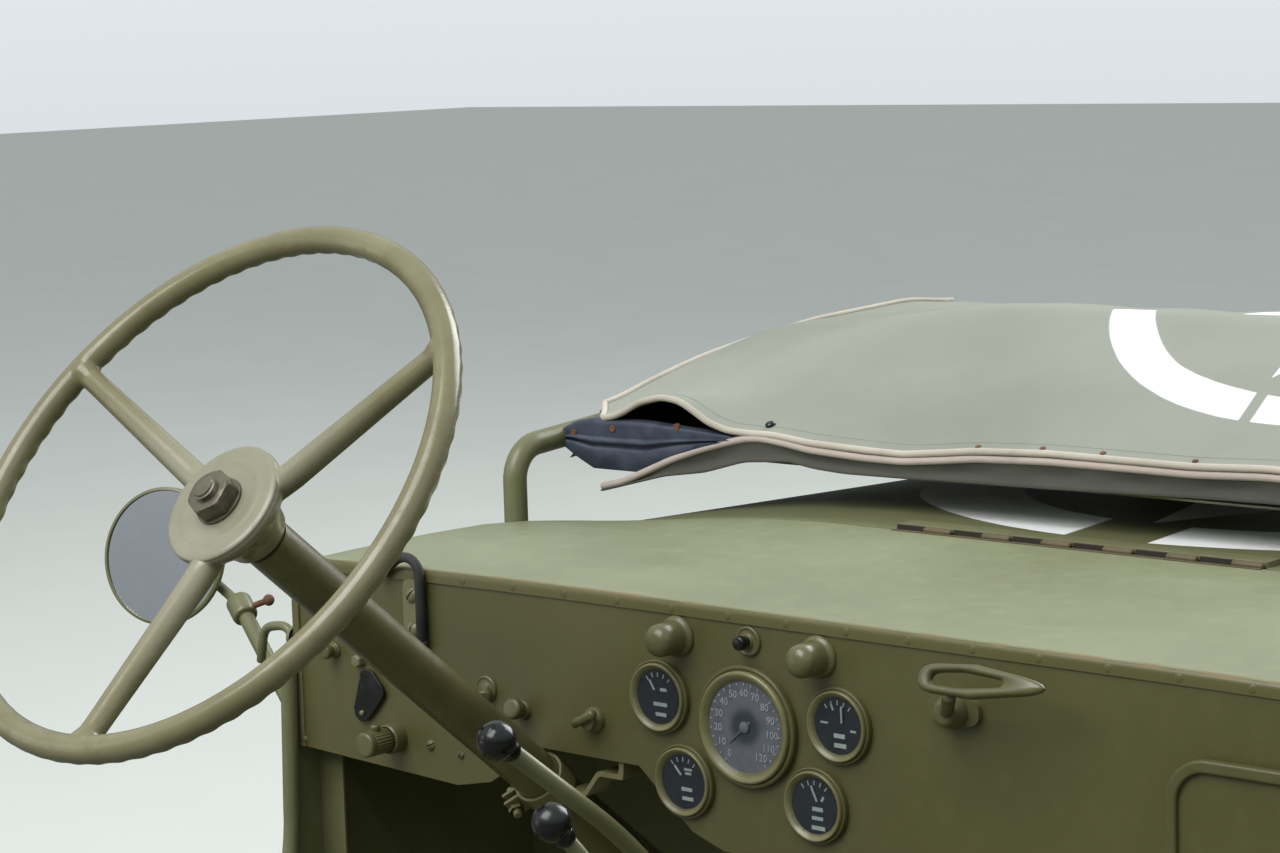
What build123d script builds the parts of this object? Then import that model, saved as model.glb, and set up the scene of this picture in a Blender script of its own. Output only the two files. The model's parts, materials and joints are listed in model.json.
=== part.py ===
"""Front body section of a light 4x4 military car.

Scuttle, dashboard, bonnet, front floor, steering gear and folding windscreen,
each piece a solid of its own. Millimetres, X to the right, Y forward, Z up.
The origin lies on the mounting face under the floor channels, on the centre
line, straight below the face of the dashboard.
"""
import os
from math import atan2, cos, hypot, radians, sin, sqrt

from build123d import *

# Sheet metal and clearances
SHEET = 2.0
TOUCH_GAP = 0.3
RUNNING = 0.3

# Heights above the mounting face, and the reach of the section
CHANNEL_HEIGHT = 38.0
FLOOR_TOP = CHANNEL_HEIGHT + SHEET
HEM = 580.0
SEAM_DROP = 90.0
SEAM = HEM - SEAM_DROP
FLOOR_REAR = -350.0
FLOOR_FRONT = 150.0
SCUTTLE_FRONT = 284.0
BULKHEAD_FOOT = 220.0

# Scuttle sections: half width, flat middle inside its arcs, height of the crown, radii
HALF_WIDTH = 597.0
ARC_REACH = 382.0
FLAT_HALF = HALF_WIDTH - ARC_REACH
CROWN_RISE = 22.0
DASH_SHOULDER = 42.0
DASH_CROWN_RADIUS = 12500.0
FRONT_SHOULDER = 60.0
FRONT_CROWN_RADIUS = 1550.0
HEM_STRIP = 12.0
HEM_PROUD = 1.5

# Bonnet
BONNET_GAP = 6.0
BONNET_LENGTH = 920.0
BONNET_FRONT_HALF = 432.0
BONNET_FRONT_DROP = 20.0
BONNET_FRONT_FLAT = 150.0
BONNET_SIDE = 120.0
HINGE_HALF = 172.0
HINGE_KNUCKLES = 12
KNUCKLE_RADIUS = 4.0

# Dashboard outline: height of its lower edge under the hem, left to right
DASH_LEFT_LOW = 160.0
DASH_MID_LOW = 168.0
NOTCH_TOP = 124.0
DASH_RIGHT_LOW = 178.0

# Instruments, placed from the speedometer's centre
DIAL_X = -95.0
DIAL_DROP = 78.0
SPEEDO_RADIUS = 46.8
GAUGE_RADIUS = 29.0
UPPER_GAUGE = (86.0, 12.0)
LOWER_GAUGE = (63.0, -50.5)
LAMP_DX = 67.5
LAMP_DROP = 15.5

# Steering
COLUMN_X = -304.0
COLUMN_ANGLE = 40.0
WHEEL_Y = -339.5
WHEEL_RISE = 132.3
RIM_RADIUS = 209.0
RIM_TUBE = 10.0
WHEEL_DISH = 21.0
SPOKE_RADIUS = 8.5
SPOKE_ROOT = 10.5
SPOKE_START = 36.5
HUB_RADIUS = 45.0
HUB_DISC = 11.0
HUB_DEPTH = 46.0
SHAFT_RADIUS = 10.0
JACKET_RADIUS = 19.0
JACKET_WALL = 2.5
JACKET_TOP = WHEEL_DISH + HUB_DEPTH + 8.0
BOX_START = 840.0
BOX_LENGTH = 130.0
BOX_RADIUS = 37.0
SECTOR_RADIUS = 32.0
DROP_ARM_LENGTH = 150.0

# Windscreen, folded forward over the bonnet
SCREEN_OUTSIDE = 17.0
SCREEN_HALF = HALF_WIDTH + SCREEN_OUTSIDE
TUBE_RADIUS = 11.0
PIVOT_Y = 225.0
PIVOT_DROP = 113.0
LEG_Y = 296.0
LEG_LOW_DROP = 40.0
BAR_Y = 376.0
BAR_RISE = 62.0
FOLD_SLOPE = 4.2
SCREEN_HEIGHT = 620.0
APRON = 110.0
PIN_RADIUS = 6.0
COVER_THICK = 56.0

# Glovebox
LID_MARGIN = 39.0
LID_WIDTH = 290.0
LID_LEFT = HALF_WIDTH - LID_MARGIN - LID_WIDTH
LID_TOP_DROP = 47.0
LID_HEIGHT = 118.0
LID_CORNER = 32.0
GLOVEBOX_DEPTH = 160.0


def across(y):
    """Plane across the car at y: sketch x is X, sketch y is Z, its normal points rearward."""
    return Plane(origin=(0, y, 0), x_dir=(1, 0, 0), z_dir=(0, -1, 0))


def along(x):
    """Plane along the car at x: sketch x is Y, sketch y is Z, its normal points right."""
    return Plane(origin=(x, 0, 0), x_dir=(0, 1, 0), z_dir=(1, 0, 0))


def slab_y(face, rear, front):
    """Solid of a sketch in X and Z between two places along the car."""
    return extrude(across(front) * face, amount=front - rear)


def slab_x(face, left, right):
    """Solid of a sketch in Y and Z between two places across the car."""
    return extrude(along(left) * face, amount=right - left)


def slab_z(face, low, high):
    """Solid of a sketch in X and Y between two heights."""
    return extrude(Plane.XY.offset(low) * face, amount=high - low)


def polygon(points):
    """Face bounded by straight lines."""
    return make_face(Polyline(*points, close=True).edges())


def mirrored(shape):
    """The same piece on the other side of the centre line."""
    return mirror(shape, about=Plane.YZ)


def rod(start, end, radius):
    """Round bar from one point to another."""
    start, end = Vector(*start), Vector(*end)
    plane = Plane(origin=start, z_dir=end - start)
    return extrude(plane * Circle(radius), amount=(end - start).length)


def bent_rod(points, radii, radius):
    """Round bar along straight runs joined by arcs."""
    path = FilletPolyline(*points, radius=radii)
    start = Plane(origin=path @ 0, z_dir=path % 0)
    return sweep(start * Circle(radius), path=path)


def turned(profile, origin, direction):
    """Revolved piece: profile is (radius, height) pairs, height measured along direction."""
    half = make_face(Polyline(*[(r, 0, h) for r, h in profile], close=True).edges())
    return Plane(origin=origin, z_dir=direction) * revolve(half, Axis.Z)


REARWARD = (0, -1, 0)


def on_dash(x, drop, y=0.0):
    """Point on the face of the dashboard, given its drop below the hem."""
    return (x, y, HEM - drop)


def arch(half, top, low, flat, crown_radius, shoulder, inset=0.0):
    """Cross-section of the scuttle or bonnet: flat middle, crown arcs, round shoulders."""
    half, top = half - inset, top - inset
    crown_radius, shoulder = crown_radius - inset, shoulder - inset
    reach = half - shoulder - flat
    rise = sqrt((crown_radius - shoulder) ** 2 - reach ** 2)
    centre = top - crown_radius
    lean = atan2(reach, rise)

    def crown(angle):
        return (flat + crown_radius * sin(angle), centre + crown_radius * cos(angle))

    def round_shoulder(angle):
        return (half - shoulder + shoulder * sin(angle), centre + rise + shoulder * cos(angle))

    right = [(half, low), (half, centre + rise)]
    meet = crown(lean)
    edges = [Line(*right),
             ThreePointArc(right[1], round_shoulder((lean + radians(90)) / 2), meet),
             ThreePointArc(meet, crown(lean / 2), (flat, top))]
    left = [mirror(edge, about=Plane.YZ) for edge in edges]
    top_line = Line((flat, top), (-flat, top))
    foot = Line((-half, low), (half, low))
    return make_face(Curve() + edges + [top_line] + left + [foot])


def dash_section(inset=0.0, low=SEAM):
    """Cross-section at the dashboard."""
    return arch(HALF_WIDTH, HEM, low, FLAT_HALF, DASH_CROWN_RADIUS, DASH_SHOULDER, inset)


def front_section(inset=0.0, low=SEAM):
    """Cross-section where the scuttle meets the bonnet."""
    return arch(HALF_WIDTH, HEM + CROWN_RISE, low, FLAT_HALF, FRONT_CROWN_RADIUS,
                FRONT_SHOULDER, inset)


def nose_section(inset=0.0, low=SEAM):
    """Cross-section at the front edge of the bonnet."""
    return arch(BONNET_FRONT_HALF, HEM + CROWN_RISE - BONNET_FRONT_DROP, low,
                BONNET_FRONT_FLAT, FRONT_CROWN_RADIUS, FRONT_SHOULDER + 15, inset)


def between(rear_face, rear, front_face, front):
    """Loft from one cross-section to another."""
    return loft([across(rear) * rear_face, across(front) * front_face], ruled=True)


def scuttle_top():
    """Top panel from the dashboard to the bonnet hinge, with its turned-down hem."""
    outer = between(dash_section(), 0, front_section(), SCUTTLE_FRONT)
    inner = between(dash_section(SHEET, SEAM - 5), 0, front_section(SHEET, SEAM - 5),
                    SCUTTLE_FRONT)
    hem = slab_y(dash_section() - dash_section(HEM_STRIP, SEAM - 5), -HEM_PROUD, 0)
    return outer - inner + hem


def dash_outline():
    """Face of the dashboard, with its stepped lower edge and the notch for the column."""
    inset = SHEET + 2 * TOUCH_GAP
    right = HALF_WIDTH - inset
    low = HEM - DASH_RIGHT_LOW
    lower = polygon([(-right - 1, HEM + 40), (-right - 1, HEM - DASH_LEFT_LOW),
                     (COLUMN_X - 100, HEM - DASH_MID_LOW), (COLUMN_X - 62, HEM - DASH_LEFT_LOW),
                     (COLUMN_X - 6, HEM - NOTCH_TOP), (COLUMN_X + 98, HEM - NOTCH_TOP),
                     (DIAL_X - 58, HEM - DASH_RIGHT_LOW + 10), (DIAL_X - 28, low),
                     (right + 1, low), (right + 1, HEM + 40)])
    return dash_section(inset, SEAM - 200) & lower


def gauge_places():
    """Centres of the four small gauges, as X and drop."""
    places = []
    for dx, dz in (UPPER_GAUGE, LOWER_GAUGE):
        places += [(DIAL_X - dx, DIAL_DROP - dz), (DIAL_X + dx, DIAL_DROP - dz)]
    return places


KNOB_TABLE = [  # X, drop, stem radius, knob radius, reach
    (-320.0, 94.0, 6.0, 10.0, 34.0),
    (-359.0, 79.0, 6.0, 12.0, 24.0),
    (DIAL_X + 2, 10.0, 5.0, 7.0, 16.0),
    (53.0 - HALF_WIDTH, 72.0, 4.0, 8.0, 16.0),
]
LIGHT_SWITCH = (124.0 - HALF_WIDTH, 137.0)
IGNITION = (-248.0, 92.0)
LEVER_PIVOT = (89.0 - HALF_WIDTH, 121.0)
LEVER_TOP = (74.0 - HALF_WIDTH, 80.0)
BRAKE_PLATE = (94.0, 49.0)
BRAKE_GRIP_X = 147.0
BRAKE_GRIP_DROP = 7.0
BRAKE_GRIP_LEAN = 28.0
BRAKE_GRIP_THICK = 11.0


def dash_panel():
    """Dashboard sheet with a round hole for each instrument and the glovebox opening."""
    holes = [Pos(DIAL_X, HEM - DIAL_DROP) * Circle(SPEEDO_RADIUS - 7)]
    holes += [Pos(x, HEM - drop) * Circle(GAUGE_RADIUS - 5) for x, drop in gauge_places()]
    opening = Pos(LID_LEFT + LID_WIDTH / 2, HEM - LID_TOP_DROP - LID_HEIGHT / 2) * RectangleRounded(
        LID_WIDTH - 24, LID_HEIGHT - 24, LID_CORNER - 12)
    face = dash_outline() - opening
    for hole in holes:
        face -= hole
    lip = slab_y(polygon([(DIAL_X - 26, HEM - DASH_RIGHT_LOW), (HALF_WIDTH - 6, HEM - DASH_RIGHT_LOW),
                          (HALF_WIDTH - 6, HEM - DASH_RIGHT_LOW + SHEET),
                          (DIAL_X - 26, HEM - DASH_RIGHT_LOW + SHEET)]), 0, 16)
    return slab_y(face, 0, SHEET) + lip


def bulkhead():
    """Upright sheet under the bonnet's rear edge, pierced for the steering column."""
    sides = Pos(0, (SEAM + BULKHEAD_FOOT) / 2) * Rectangle(2 * HALF_WIDTH, SEAM - BULKHEAD_FOOT)
    plate = slab_y(front_section() + sides, SCUTTLE_FRONT, SCUTTLE_FRONT + SHEET)
    ribs = [slab_y(Pos(x, 380) * RectangleRounded(60, 180, 20), SCUTTLE_FRONT + SHEET,
                   SCUTTLE_FRONT + SHEET + 4) for x in (-90, 90, 330)]
    grommet = rod(column_point(600), column_point(900), JACKET_RADIUS + 3)
    return plate + ribs - grommet


def wheel_plane(s=0.0):
    """Plane square to the column, s down the column from the middle of the rim."""
    x, y, z = column_point(s)
    a = radians(COLUMN_ANGLE)
    return Plane(origin=(x, y, z), x_dir=(1, 0, 0), z_dir=(0, -cos(a), sin(a)))


def column_point(s):
    """Point on the column's axis, s down from the middle of the rim."""
    a = radians(COLUMN_ANGLE)
    return (COLUMN_X, WHEEL_Y + s * cos(a), HEM + WHEEL_RISE - s * sin(a))


DOWN_COLUMN = (0, cos(radians(COLUMN_ANGLE)), -sin(radians(COLUMN_ANGLE)))


def door_edge():
    """Line of the door cut, from the dashboard down and back to the floor's rear end."""
    start_z, turn_z = SEAM, HEM - 215
    sill_z = FLOOR_TOP + 130
    radius = turn_z - sill_z
    down = Line((-8, start_z), (-12, turn_z))
    bend = RadiusArc((-12, turn_z), (-12 - radius, sill_z), radius)
    sill = Line((-12 - radius, sill_z), (FLOOR_REAR, sill_z))
    return down, bend, sill


def side_panel():
    """Left side: sheet from the bulkhead to the door cut, rolled edge and inner stiffener."""
    down, bend, sill = door_edge()
    rear_foot = (FLOOR_REAR, CHANNEL_HEIGHT)
    outline = Curve() + [down, bend, sill, Line(sill @ 1, rear_foot),
                         Line(rear_foot, (SCUTTLE_FRONT, CHANNEL_HEIGHT)),
                         Line((SCUTTLE_FRONT, CHANNEL_HEIGHT), (SCUTTLE_FRONT, SEAM)),
                         Line((SCUTTLE_FRONT, SEAM), down @ 0)]
    sheet = slab_x(make_face(outline), -HALF_WIDTH, -HALF_WIDTH + SHEET)
    path = along(-HALF_WIDTH + 3) * Wire([down.edge(), bend.edge(), sill.edge()])
    roll = sweep(Plane(origin=path @ 0, z_dir=path % 0) * Circle(7), path=path)
    stiffener = slab_x(polygon([(24, FLOOR_TOP), (26, FLOOR_TOP), (26, HEM - DASH_LEFT_LOW - 4),
                                (24, HEM - DASH_LEFT_LOW - 4)]),
                       -HALF_WIDTH + SHEET, -HALF_WIDTH + 30)
    flange = slab_y(polygon([(-HALF_WIDTH, SEAM), (-HALF_WIDTH + HEM_STRIP, SEAM),
                             (-HALF_WIDTH + HEM_STRIP, HEM - DASH_LEFT_LOW),
                             (-HALF_WIDTH, HEM - DASH_LEFT_LOW)]), -HEM_PROUD, 0)
    return sheet + roll + stiffener + flange


def toe_board():
    """Sloping foot rest between the bulkhead and the floor, open over the gearbox."""
    half = HALF_WIDTH - SHEET - TOUCH_GAP
    slope = hypot(SCUTTLE_FRONT - FLOOR_FRONT, BULKHEAD_FOOT - FLOOR_TOP)
    nx = (BULKHEAD_FOOT - FLOOR_TOP) / slope * SHEET
    nz = (SCUTTLE_FRONT - FLOOR_FRONT) / slope * SHEET
    profile = polygon([(FLOOR_FRONT, FLOOR_TOP), (SCUTTLE_FRONT, BULKHEAD_FOOT),
                       (SCUTTLE_FRONT + nx, BULKHEAD_FOOT - nz), (FLOOR_FRONT + nx, FLOOR_TOP - nz)])
    tread = slab_x(profile, -half, half)
    foot = slab_x(polygon([(SCUTTLE_FRONT, BULKHEAD_FOOT), (SCUTTLE_FRONT, BULKHEAD_FOOT + 20),
                           (SCUTTLE_FRONT - SHEET, BULKHEAD_FOOT + 20),
                           (SCUTTLE_FRONT - SHEET, BULKHEAD_FOOT - SHEET)]), -half, half)
    gearbox_gap = slab_y(tunnel_section(SHEET + TOUCH_GAP), FLOOR_FRONT - 20, SCUTTLE_FRONT + 20)
    column_gap = rod(column_point(600), column_point(900), JACKET_RADIUS + 3)
    return tread + foot - gearbox_gap - column_gap


TUNNEL_HALF = 125.0
TUNNEL_HEIGHT = 95.0
TUNNEL_REAR = -240.0


def tunnel_section(inset=0.0):
    """Cross-section of the gearbox cover."""
    half, top = TUNNEL_HALF - inset, FLOOR_TOP + TUNNEL_HEIGHT - inset
    body = polygon([(-half, FLOOR_TOP - 10), (half, FLOOR_TOP - 10), (half - 25, top),
                    (-half + 25, top)])
    corners = body.vertices().sort_by(Axis.Y)[-2:]
    return fillet(corners, 30)


def tunnel_cover():
    """Raised cover over the gearbox, screwed down to the floor."""
    front = SCUTTLE_FRONT
    outer = slab_y(tunnel_section(), TUNNEL_REAR, front)
    inner = slab_y(tunnel_section(SHEET), TUNNEL_REAR + SHEET, front)
    low = slab_z(Rectangle(900, 1400), -10, FLOOR_TOP)
    run = (SCUTTLE_FRONT - FLOOR_FRONT) / (BULKHEAD_FOOT - FLOOR_TOP)
    ahead = slab_x(polygon([(FLOOR_FRONT - 2, FLOOR_TOP - 1), (front + 40, FLOOR_TOP - 1),
                            (front + 40, FLOOR_TOP + TUNNEL_HEIGHT + 5),
                            (FLOOR_FRONT - 2 + run * (TUNNEL_HEIGHT + 6),
                             FLOOR_TOP + TUNNEL_HEIGHT + 5)]), -200, 200)
    flange = slab_z(Pos(0, (TUNNEL_REAR + FLOOR_FRONT) / 2 - 12) * Rectangle(
        2 * TUNNEL_HALF + 44, FLOOR_FRONT - TUNNEL_REAR + 20), FLOOR_TOP, FLOOR_TOP + SHEET)
    flange -= slab_y(tunnel_section(), TUNNEL_REAR, front)
    shell = outer - inner - low - ahead + flange
    holes = [rod((x, y, FLOOR_TOP + TUNNEL_HEIGHT - 20), (x, y, FLOOR_TOP + TUNNEL_HEIGHT + 20), 17)
             for x, y, _ in LEVER_FEET]
    for hole in holes:
        shell -= hole
    return shell


LEVER_FEET = [  # X, Y, boot radius
    (-35.0, -30.0, 34.0),
    (22.0, -95.0, 22.0),
    (66.0, -95.0, 22.0),
]


RIB_INSETS = (137.0, 237.0, 337.0)


def front_floor():
    """Flat floor sheet with the gearbox opening, and ribs pressed into each side."""
    half = HALF_WIDTH - SHEET - TOUCH_GAP
    plate = Pos(0, (FLOOR_REAR + FLOOR_FRONT) / 2) * Rectangle(2 * half, FLOOR_FRONT - FLOOR_REAR)
    gap = Pos(0, (TUNNEL_REAR + FLOOR_FRONT) / 2 + 10) * Rectangle(
        2 * TUNNEL_HALF - 30, FLOOR_FRONT - TUNNEL_REAR - 20)
    sheet = slab_z(plate - gap, CHANNEL_HEIGHT, FLOOR_TOP)
    for inset in RIB_INSETS:
        for x in (inset - HALF_WIDTH, HALF_WIDTH - inset):
            rib = Pos(x, -190) * SlotOverall(230, 22, rotation=90)
            sheet += slab_z(rib, FLOOR_TOP, FLOOR_TOP + 4)
    return sheet


CHANNEL_Y = 120.0
CHANNEL_HALF = HALF_WIDTH - 57.0
CHANNEL_WIDTH = 76.0
MOUNT_X = 440.0
MOUNT_HOLE = 6.5


def floor_channels():
    """Two cross members under the floor, each with two holes for the body bolts."""
    members = []
    for y in (-CHANNEL_Y, CHANNEL_Y):
        outer = Pos(0, y, CHANNEL_HEIGHT / 2) * Box(2 * CHANNEL_HALF, CHANNEL_WIDTH, CHANNEL_HEIGHT)
        inner = Pos(0, y, CHANNEL_HEIGHT / 2 + 3) * Box(2 * CHANNEL_HALF + 2, CHANNEL_WIDTH - 6,
                                                        CHANNEL_HEIGHT)
        member = outer - inner
        for x in (-MOUNT_X, MOUNT_X):
            member -= rod((x, y, -1), (x, y, 10), MOUNT_HOLE)
        members.append(member)
    return members[0] + members[1]


def bonnet():
    """Bonnet shell: crowned top, sides turned down, edges folded in."""
    rear = SCUTTLE_FRONT + BONNET_GAP
    front = rear + BONNET_LENGTH
    low = HEM - BONNET_SIDE
    outer = between(front_section(0, low), rear, nose_section(0, low), front)
    inner = between(front_section(SHEET, low - 5), rear, nose_section(SHEET, low - 5), front)
    hollow = inner & slab_y(Pos(0, HEM) * Rectangle(4 * HALF_WIDTH, HEM), rear + SHEET,
                            front - SHEET)
    rear_mouth = slab_y(front_section(20, low - 5), rear - 1, rear + SHEET + 1)
    nose_mouth = slab_y(nose_section(22, low - 5), front - SHEET - 1, front + 1)
    return outer - hollow - rear_mouth - nose_mouth


def bonnet_hinge():
    """Long butt hinge across the middle of the bonnet's rear edge."""
    top = HEM + CROWN_RISE
    joint_y = SCUTTLE_FRONT + BONNET_GAP / 2
    length = 2 * HINGE_HALF / HINGE_KNUCKLES
    rear_leaf = slab_z(Pos(0, SCUTTLE_FRONT - 12) * Rectangle(2 * HINGE_HALF, 24), top, top + 2)
    front_leaf = slab_z(Pos(0, joint_y + 15) * Rectangle(2 * HINGE_HALF, 24), top, top + 2)
    axis_z = top + KNUCKLE_RADIUS
    barrel = rod((-HINGE_HALF, joint_y, axis_z), (HINGE_HALF, joint_y, axis_z), 2.0)
    for i in range(HINGE_KNUCKLES):
        x = -HINGE_HALF + i * length
        barrel += rod((x + 0.6, joint_y, axis_z), (x + length - 0.6, joint_y, axis_z),
                      KNUCKLE_RADIUS)
    return barrel + rear_leaf + front_leaf


def screen_point(distance, lift=0.0):
    """Y and Z in the folded windscreen's plane, distance forward of the lower bar."""
    a = radians(FOLD_SLOPE)
    return (BAR_Y + distance * cos(a) - lift * sin(a),
            HEM + BAR_RISE + distance * sin(a) + lift * cos(a))


BLOCK_X = 300.0
BLOCK_WIDTH = 90.0
BLOCK_DEPTH = 50.0


def bonnet_rest_blocks():
    """Two wooden blocks on the bonnet that carry the folded windscreen."""
    blocks = None
    y, under = screen_point(SCREEN_HEIGHT - 40, -COVER_THICK / 2 - TOUCH_GAP)
    slope = radians(FOLD_SLOPE)
    for x in (-BLOCK_X, BLOCK_X):
        left, right = x - BLOCK_WIDTH / 2, x + BLOCK_WIDTH / 2
        face = polygon([(y - BLOCK_DEPTH / 2, HEM - 30),
                        (y - BLOCK_DEPTH / 2, under - BLOCK_DEPTH / 2 * sin(slope)),
                        (y + BLOCK_DEPTH / 2, under + BLOCK_DEPTH / 2 * sin(slope)),
                        (y + BLOCK_DEPTH / 2, HEM - 30)])
        block = slab_x(face, left, right)
        blocks = block if blocks is None else blocks + block
    rear = SCUTTLE_FRONT + BONNET_GAP
    solid_bonnet = between(front_section(-TOUCH_GAP), rear, nose_section(-TOUCH_GAP), rear + BONNET_LENGTH)
    return blocks - solid_bonnet


def windscreen_frame():
    """Outer tube frame with its legs, lower bar and apron sheet."""
    top_y, top_z = screen_point(SCREEN_HEIGHT)
    _, side_z = screen_point(LEG_Y - BAR_Y)
    left = [(-SCREEN_HALF, PIVOT_Y + 10, HEM - PIVOT_DROP + 10.3),
            (-SCREEN_HALF, LEG_Y, HEM - LEG_LOW_DROP),
            (-SCREEN_HALF, LEG_Y, side_z), (-SCREEN_HALF, top_y, top_z)]
    right = [(-x, y, z) for x, y, z in reversed(left)]
    hoop = bent_rod(left + right, [30, 32, 55, 55, 32, 30], TUBE_RADIUS)
    bar_y, bar_z = screen_point(0)
    bar = rod((-SCREEN_HALF, bar_y, bar_z), (SCREEN_HALF, bar_y, bar_z), TUBE_RADIUS)
    low = screen_point(0, 4)
    high = screen_point(APRON, 4)
    apron = slab_x(polygon([low, high, (high[0], high[1] + SHEET), (low[0], low[1] + SHEET)]),
                   -SCREEN_HALF + TUBE_RADIUS - 2, SCREEN_HALF - TUBE_RADIUS + 2)
    frame = hoop + bar + apron
    for side in (-1, 1):
        eye = (side * SCREEN_HALF, PIVOT_Y, HEM - PIVOT_DROP)
        outer = (eye[0] + side * 6, eye[1], eye[2])
        inner = (eye[0] - side * 6, eye[1], eye[2])
        frame += rod(inner, outer, 16)
    for side in (-1, 1):
        pin_run = [(side * (SCREEN_HALF - 20), PIVOT_Y, HEM - PIVOT_DROP),
                   (side * (SCREEN_HALF + 20), PIVOT_Y, HEM - PIVOT_DROP)]
        frame -= rod(*pin_run, PIN_RADIUS + RUNNING)
    return frame


INNER_HALF = SCREEN_HALF - TUBE_RADIUS - TOUCH_GAP
INNER_WIDTH = 20.0
INNER_THICK = 14.0
INNER_CORNER = 47.0


def screen_slab(face, low, high):
    """Solid of a sketch in the windscreen's plane, x across and y forward of the lower bar."""
    a = radians(FOLD_SLOPE)
    plane = Plane(origin=(0, *screen_point(0, low)), x_dir=(1, 0, 0), z_dir=(0, -sin(a), cos(a)))
    return extrude(plane * face, amount=high - low)


def screen_plate(x0, x1, d0, d1, low, high, corner=0.0):
    """Flat block in the windscreen's plane, with its far outer corners rounded."""
    face = Pos((x0 + x1) / 2, (d0 + d1) / 2) * Rectangle(x1 - x0, d1 - d0)
    if corner:
        far = face.vertices().sort_by(Axis.Y)[-2:]
        reach = max(abs(vertex.X) for vertex in far)
        face = fillet([vertex for vertex in far if abs(vertex.X) > reach - 1], corner)
    return screen_slab(face, low, high)


def screen_profile(points, left, right):
    """Bar of one section across the windscreen; points are (distance, lift) pairs."""
    return slab_x(polygon([screen_point(d, lift) for d, lift in points]), left, right)


def windscreen_inner_frame():
    """Opening frame round the two panes, with its middle bar."""
    low, high = APRON + 6, SCREEN_HEIGHT - TUBE_RADIUS - TOUCH_GAP
    half_thick = INNER_THICK / 2
    outer = screen_plate(-INNER_HALF, INNER_HALF, low, high, -half_thick, half_thick,
                         INNER_CORNER)
    for x0, x1 in ((-INNER_HALF + INNER_WIDTH, -8), (8, INNER_HALF - INNER_WIDTH)):
        outer -= screen_plate(x0, x1, low + INNER_WIDTH, high - INNER_WIDTH, -20, 20,
                              INNER_CORNER - INNER_WIDTH)
    return outer


def windscreen_glass():
    """The two flat panes."""
    low = APRON + 6 + INNER_WIDTH + TOUCH_GAP
    high = SCREEN_HEIGHT - TUBE_RADIUS - TOUCH_GAP - INNER_WIDTH - TOUCH_GAP
    panes = [screen_plate(x0, x1, low, high, -2.5, 2.5, INNER_CORNER - INNER_WIDTH)
             for x0, x1 in ((-INNER_HALF + INNER_WIDTH + TOUCH_GAP, -8 - TOUCH_GAP),
                            (8 + TOUCH_GAP, INNER_HALF - INNER_WIDTH - TOUCH_GAP))]
    return panes[0] + panes[1]


SEAL_REACH = 24.0
SEAL_LOW, SEAL_HIGH = -10.0, 15.0
SEAL_END_LOW, SEAL_END_HIGH = -29.0, 21.0
SEAL_END_X = SCREEN_HALF - 206.0


def seal_section(low, high):
    """Section of the seal between two lifts, as (distance, lift) pairs."""
    back, tip = -TUBE_RADIUS - TOUCH_GAP, -SEAL_REACH
    return [(tip, low + 4), (tip + 4, low), (back, low), (back, high), (tip + 4, high),
            (tip, high - 4)]


def windscreen_seal():
    """Rubber strip along the lower bar, squeezed flat between its two free ends by the cover."""
    reach = SCREEN_HALF - TUBE_RADIUS - 0.5
    ends = seal_section(SEAL_END_LOW, SEAL_END_HIGH)
    return (screen_profile(seal_section(SEAL_LOW, SEAL_HIGH), -reach, reach)
            + screen_profile(ends, -reach, -SEAL_END_X) + screen_profile(ends, SEAL_END_X, reach))


COVER_HALF = SCREEN_HALF + TUBE_RADIUS + 7
COVER_WALL = 2.7
COVER_MOUTH = -SEAL_REACH - TOUCH_GAP - COVER_WALL
COVER_FLARE = 90.0
COVER_END = SCREEN_HEIGHT + TUBE_RADIUS + 8
COVER_OPEN_X = COVER_HALF - 232
COVER_FULL_X = COVER_HALF - 72
COVER_FLAP = [  # distance in from the cover's side, height over the hem
    (246.0, 75.0), (198.0, 64.0), (156.0, 52.0), (113.0, 32.0), (72.0, 18.0),
    (74.0, 13.0), (149.0, 28.0), (197.0, 36.0), (246.0, 47.0)]
COVER_TOP = [  # distance up the folded windscreen, lift at the sides, lift in the middle
    (0.0, 15.0, 27.0),
    (COVER_FLARE, 18.0, 60.0),
    (215.0, 33.0, 101.0),
    (300.0, 38.0, 86.0),
    (400.0, 40.0, 65.0),
    (560.0, 34.0, 36.0),
    (COVER_END - 12, 28.0, 30.0),
]
COVER_STATIONS = [COVER_HALF - inset for inset in (0, 30, 87, 202, 382)]
COVER_FULLNESS = 3.8


def cover_lift(x, side, middle):
    """Lift of the cover's upper sheet across the car, between its sides and its middle."""
    return middle - (middle - side) * (abs(x) / COVER_HALF) ** COVER_FULLNESS


def cover_section(x, inset=0.0):
    """Section of the cover at one place across the car, as Y and Z pairs."""
    half = COVER_THICK / 2
    mouth_low, mouth_high = SEAL_LOW - TOUCH_GAP - COVER_WALL, SEAL_HIGH + TOUCH_GAP + COVER_WALL
    points = [(COVER_MOUTH + inset, mouth_low + inset), (COVER_MOUTH + inset, mouth_high - inset)]
    points += [(d, cover_lift(x, side, middle) - inset) for d, side, middle in COVER_TOP]
    points += [(COVER_END - inset, 16), (COVER_END - inset, -half + inset + 8),
               (COVER_END - inset - 8, -half + inset), (COVER_FLARE, -half + inset),
               (0, mouth_low - 1.5 + inset)]
    return [screen_point(d, lift) for d, lift in points]


def cover_solid(inset=0.0):
    """Filled shape of the cover, tented in the middle, drawn in by the wall for its hollow."""
    right = [min(x, COVER_HALF - inset) for x in COVER_STATIONS]
    stations = [-x for x in right] + right[::-1]
    return loft([along(x) * polygon(cover_section(x, inset)) for x in stations], ruled=True)


def cover_flap():
    """Loose left corner of the cover's lower side, hanging below the seal."""
    y, _ = screen_point(COVER_MOUTH, SEAL_END_HIGH)
    outline = [(inset - COVER_HALF, HEM + z) for inset, z in COVER_FLAP]
    return slab_y(polygon(outline), y, y + COVER_WALL)


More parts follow.
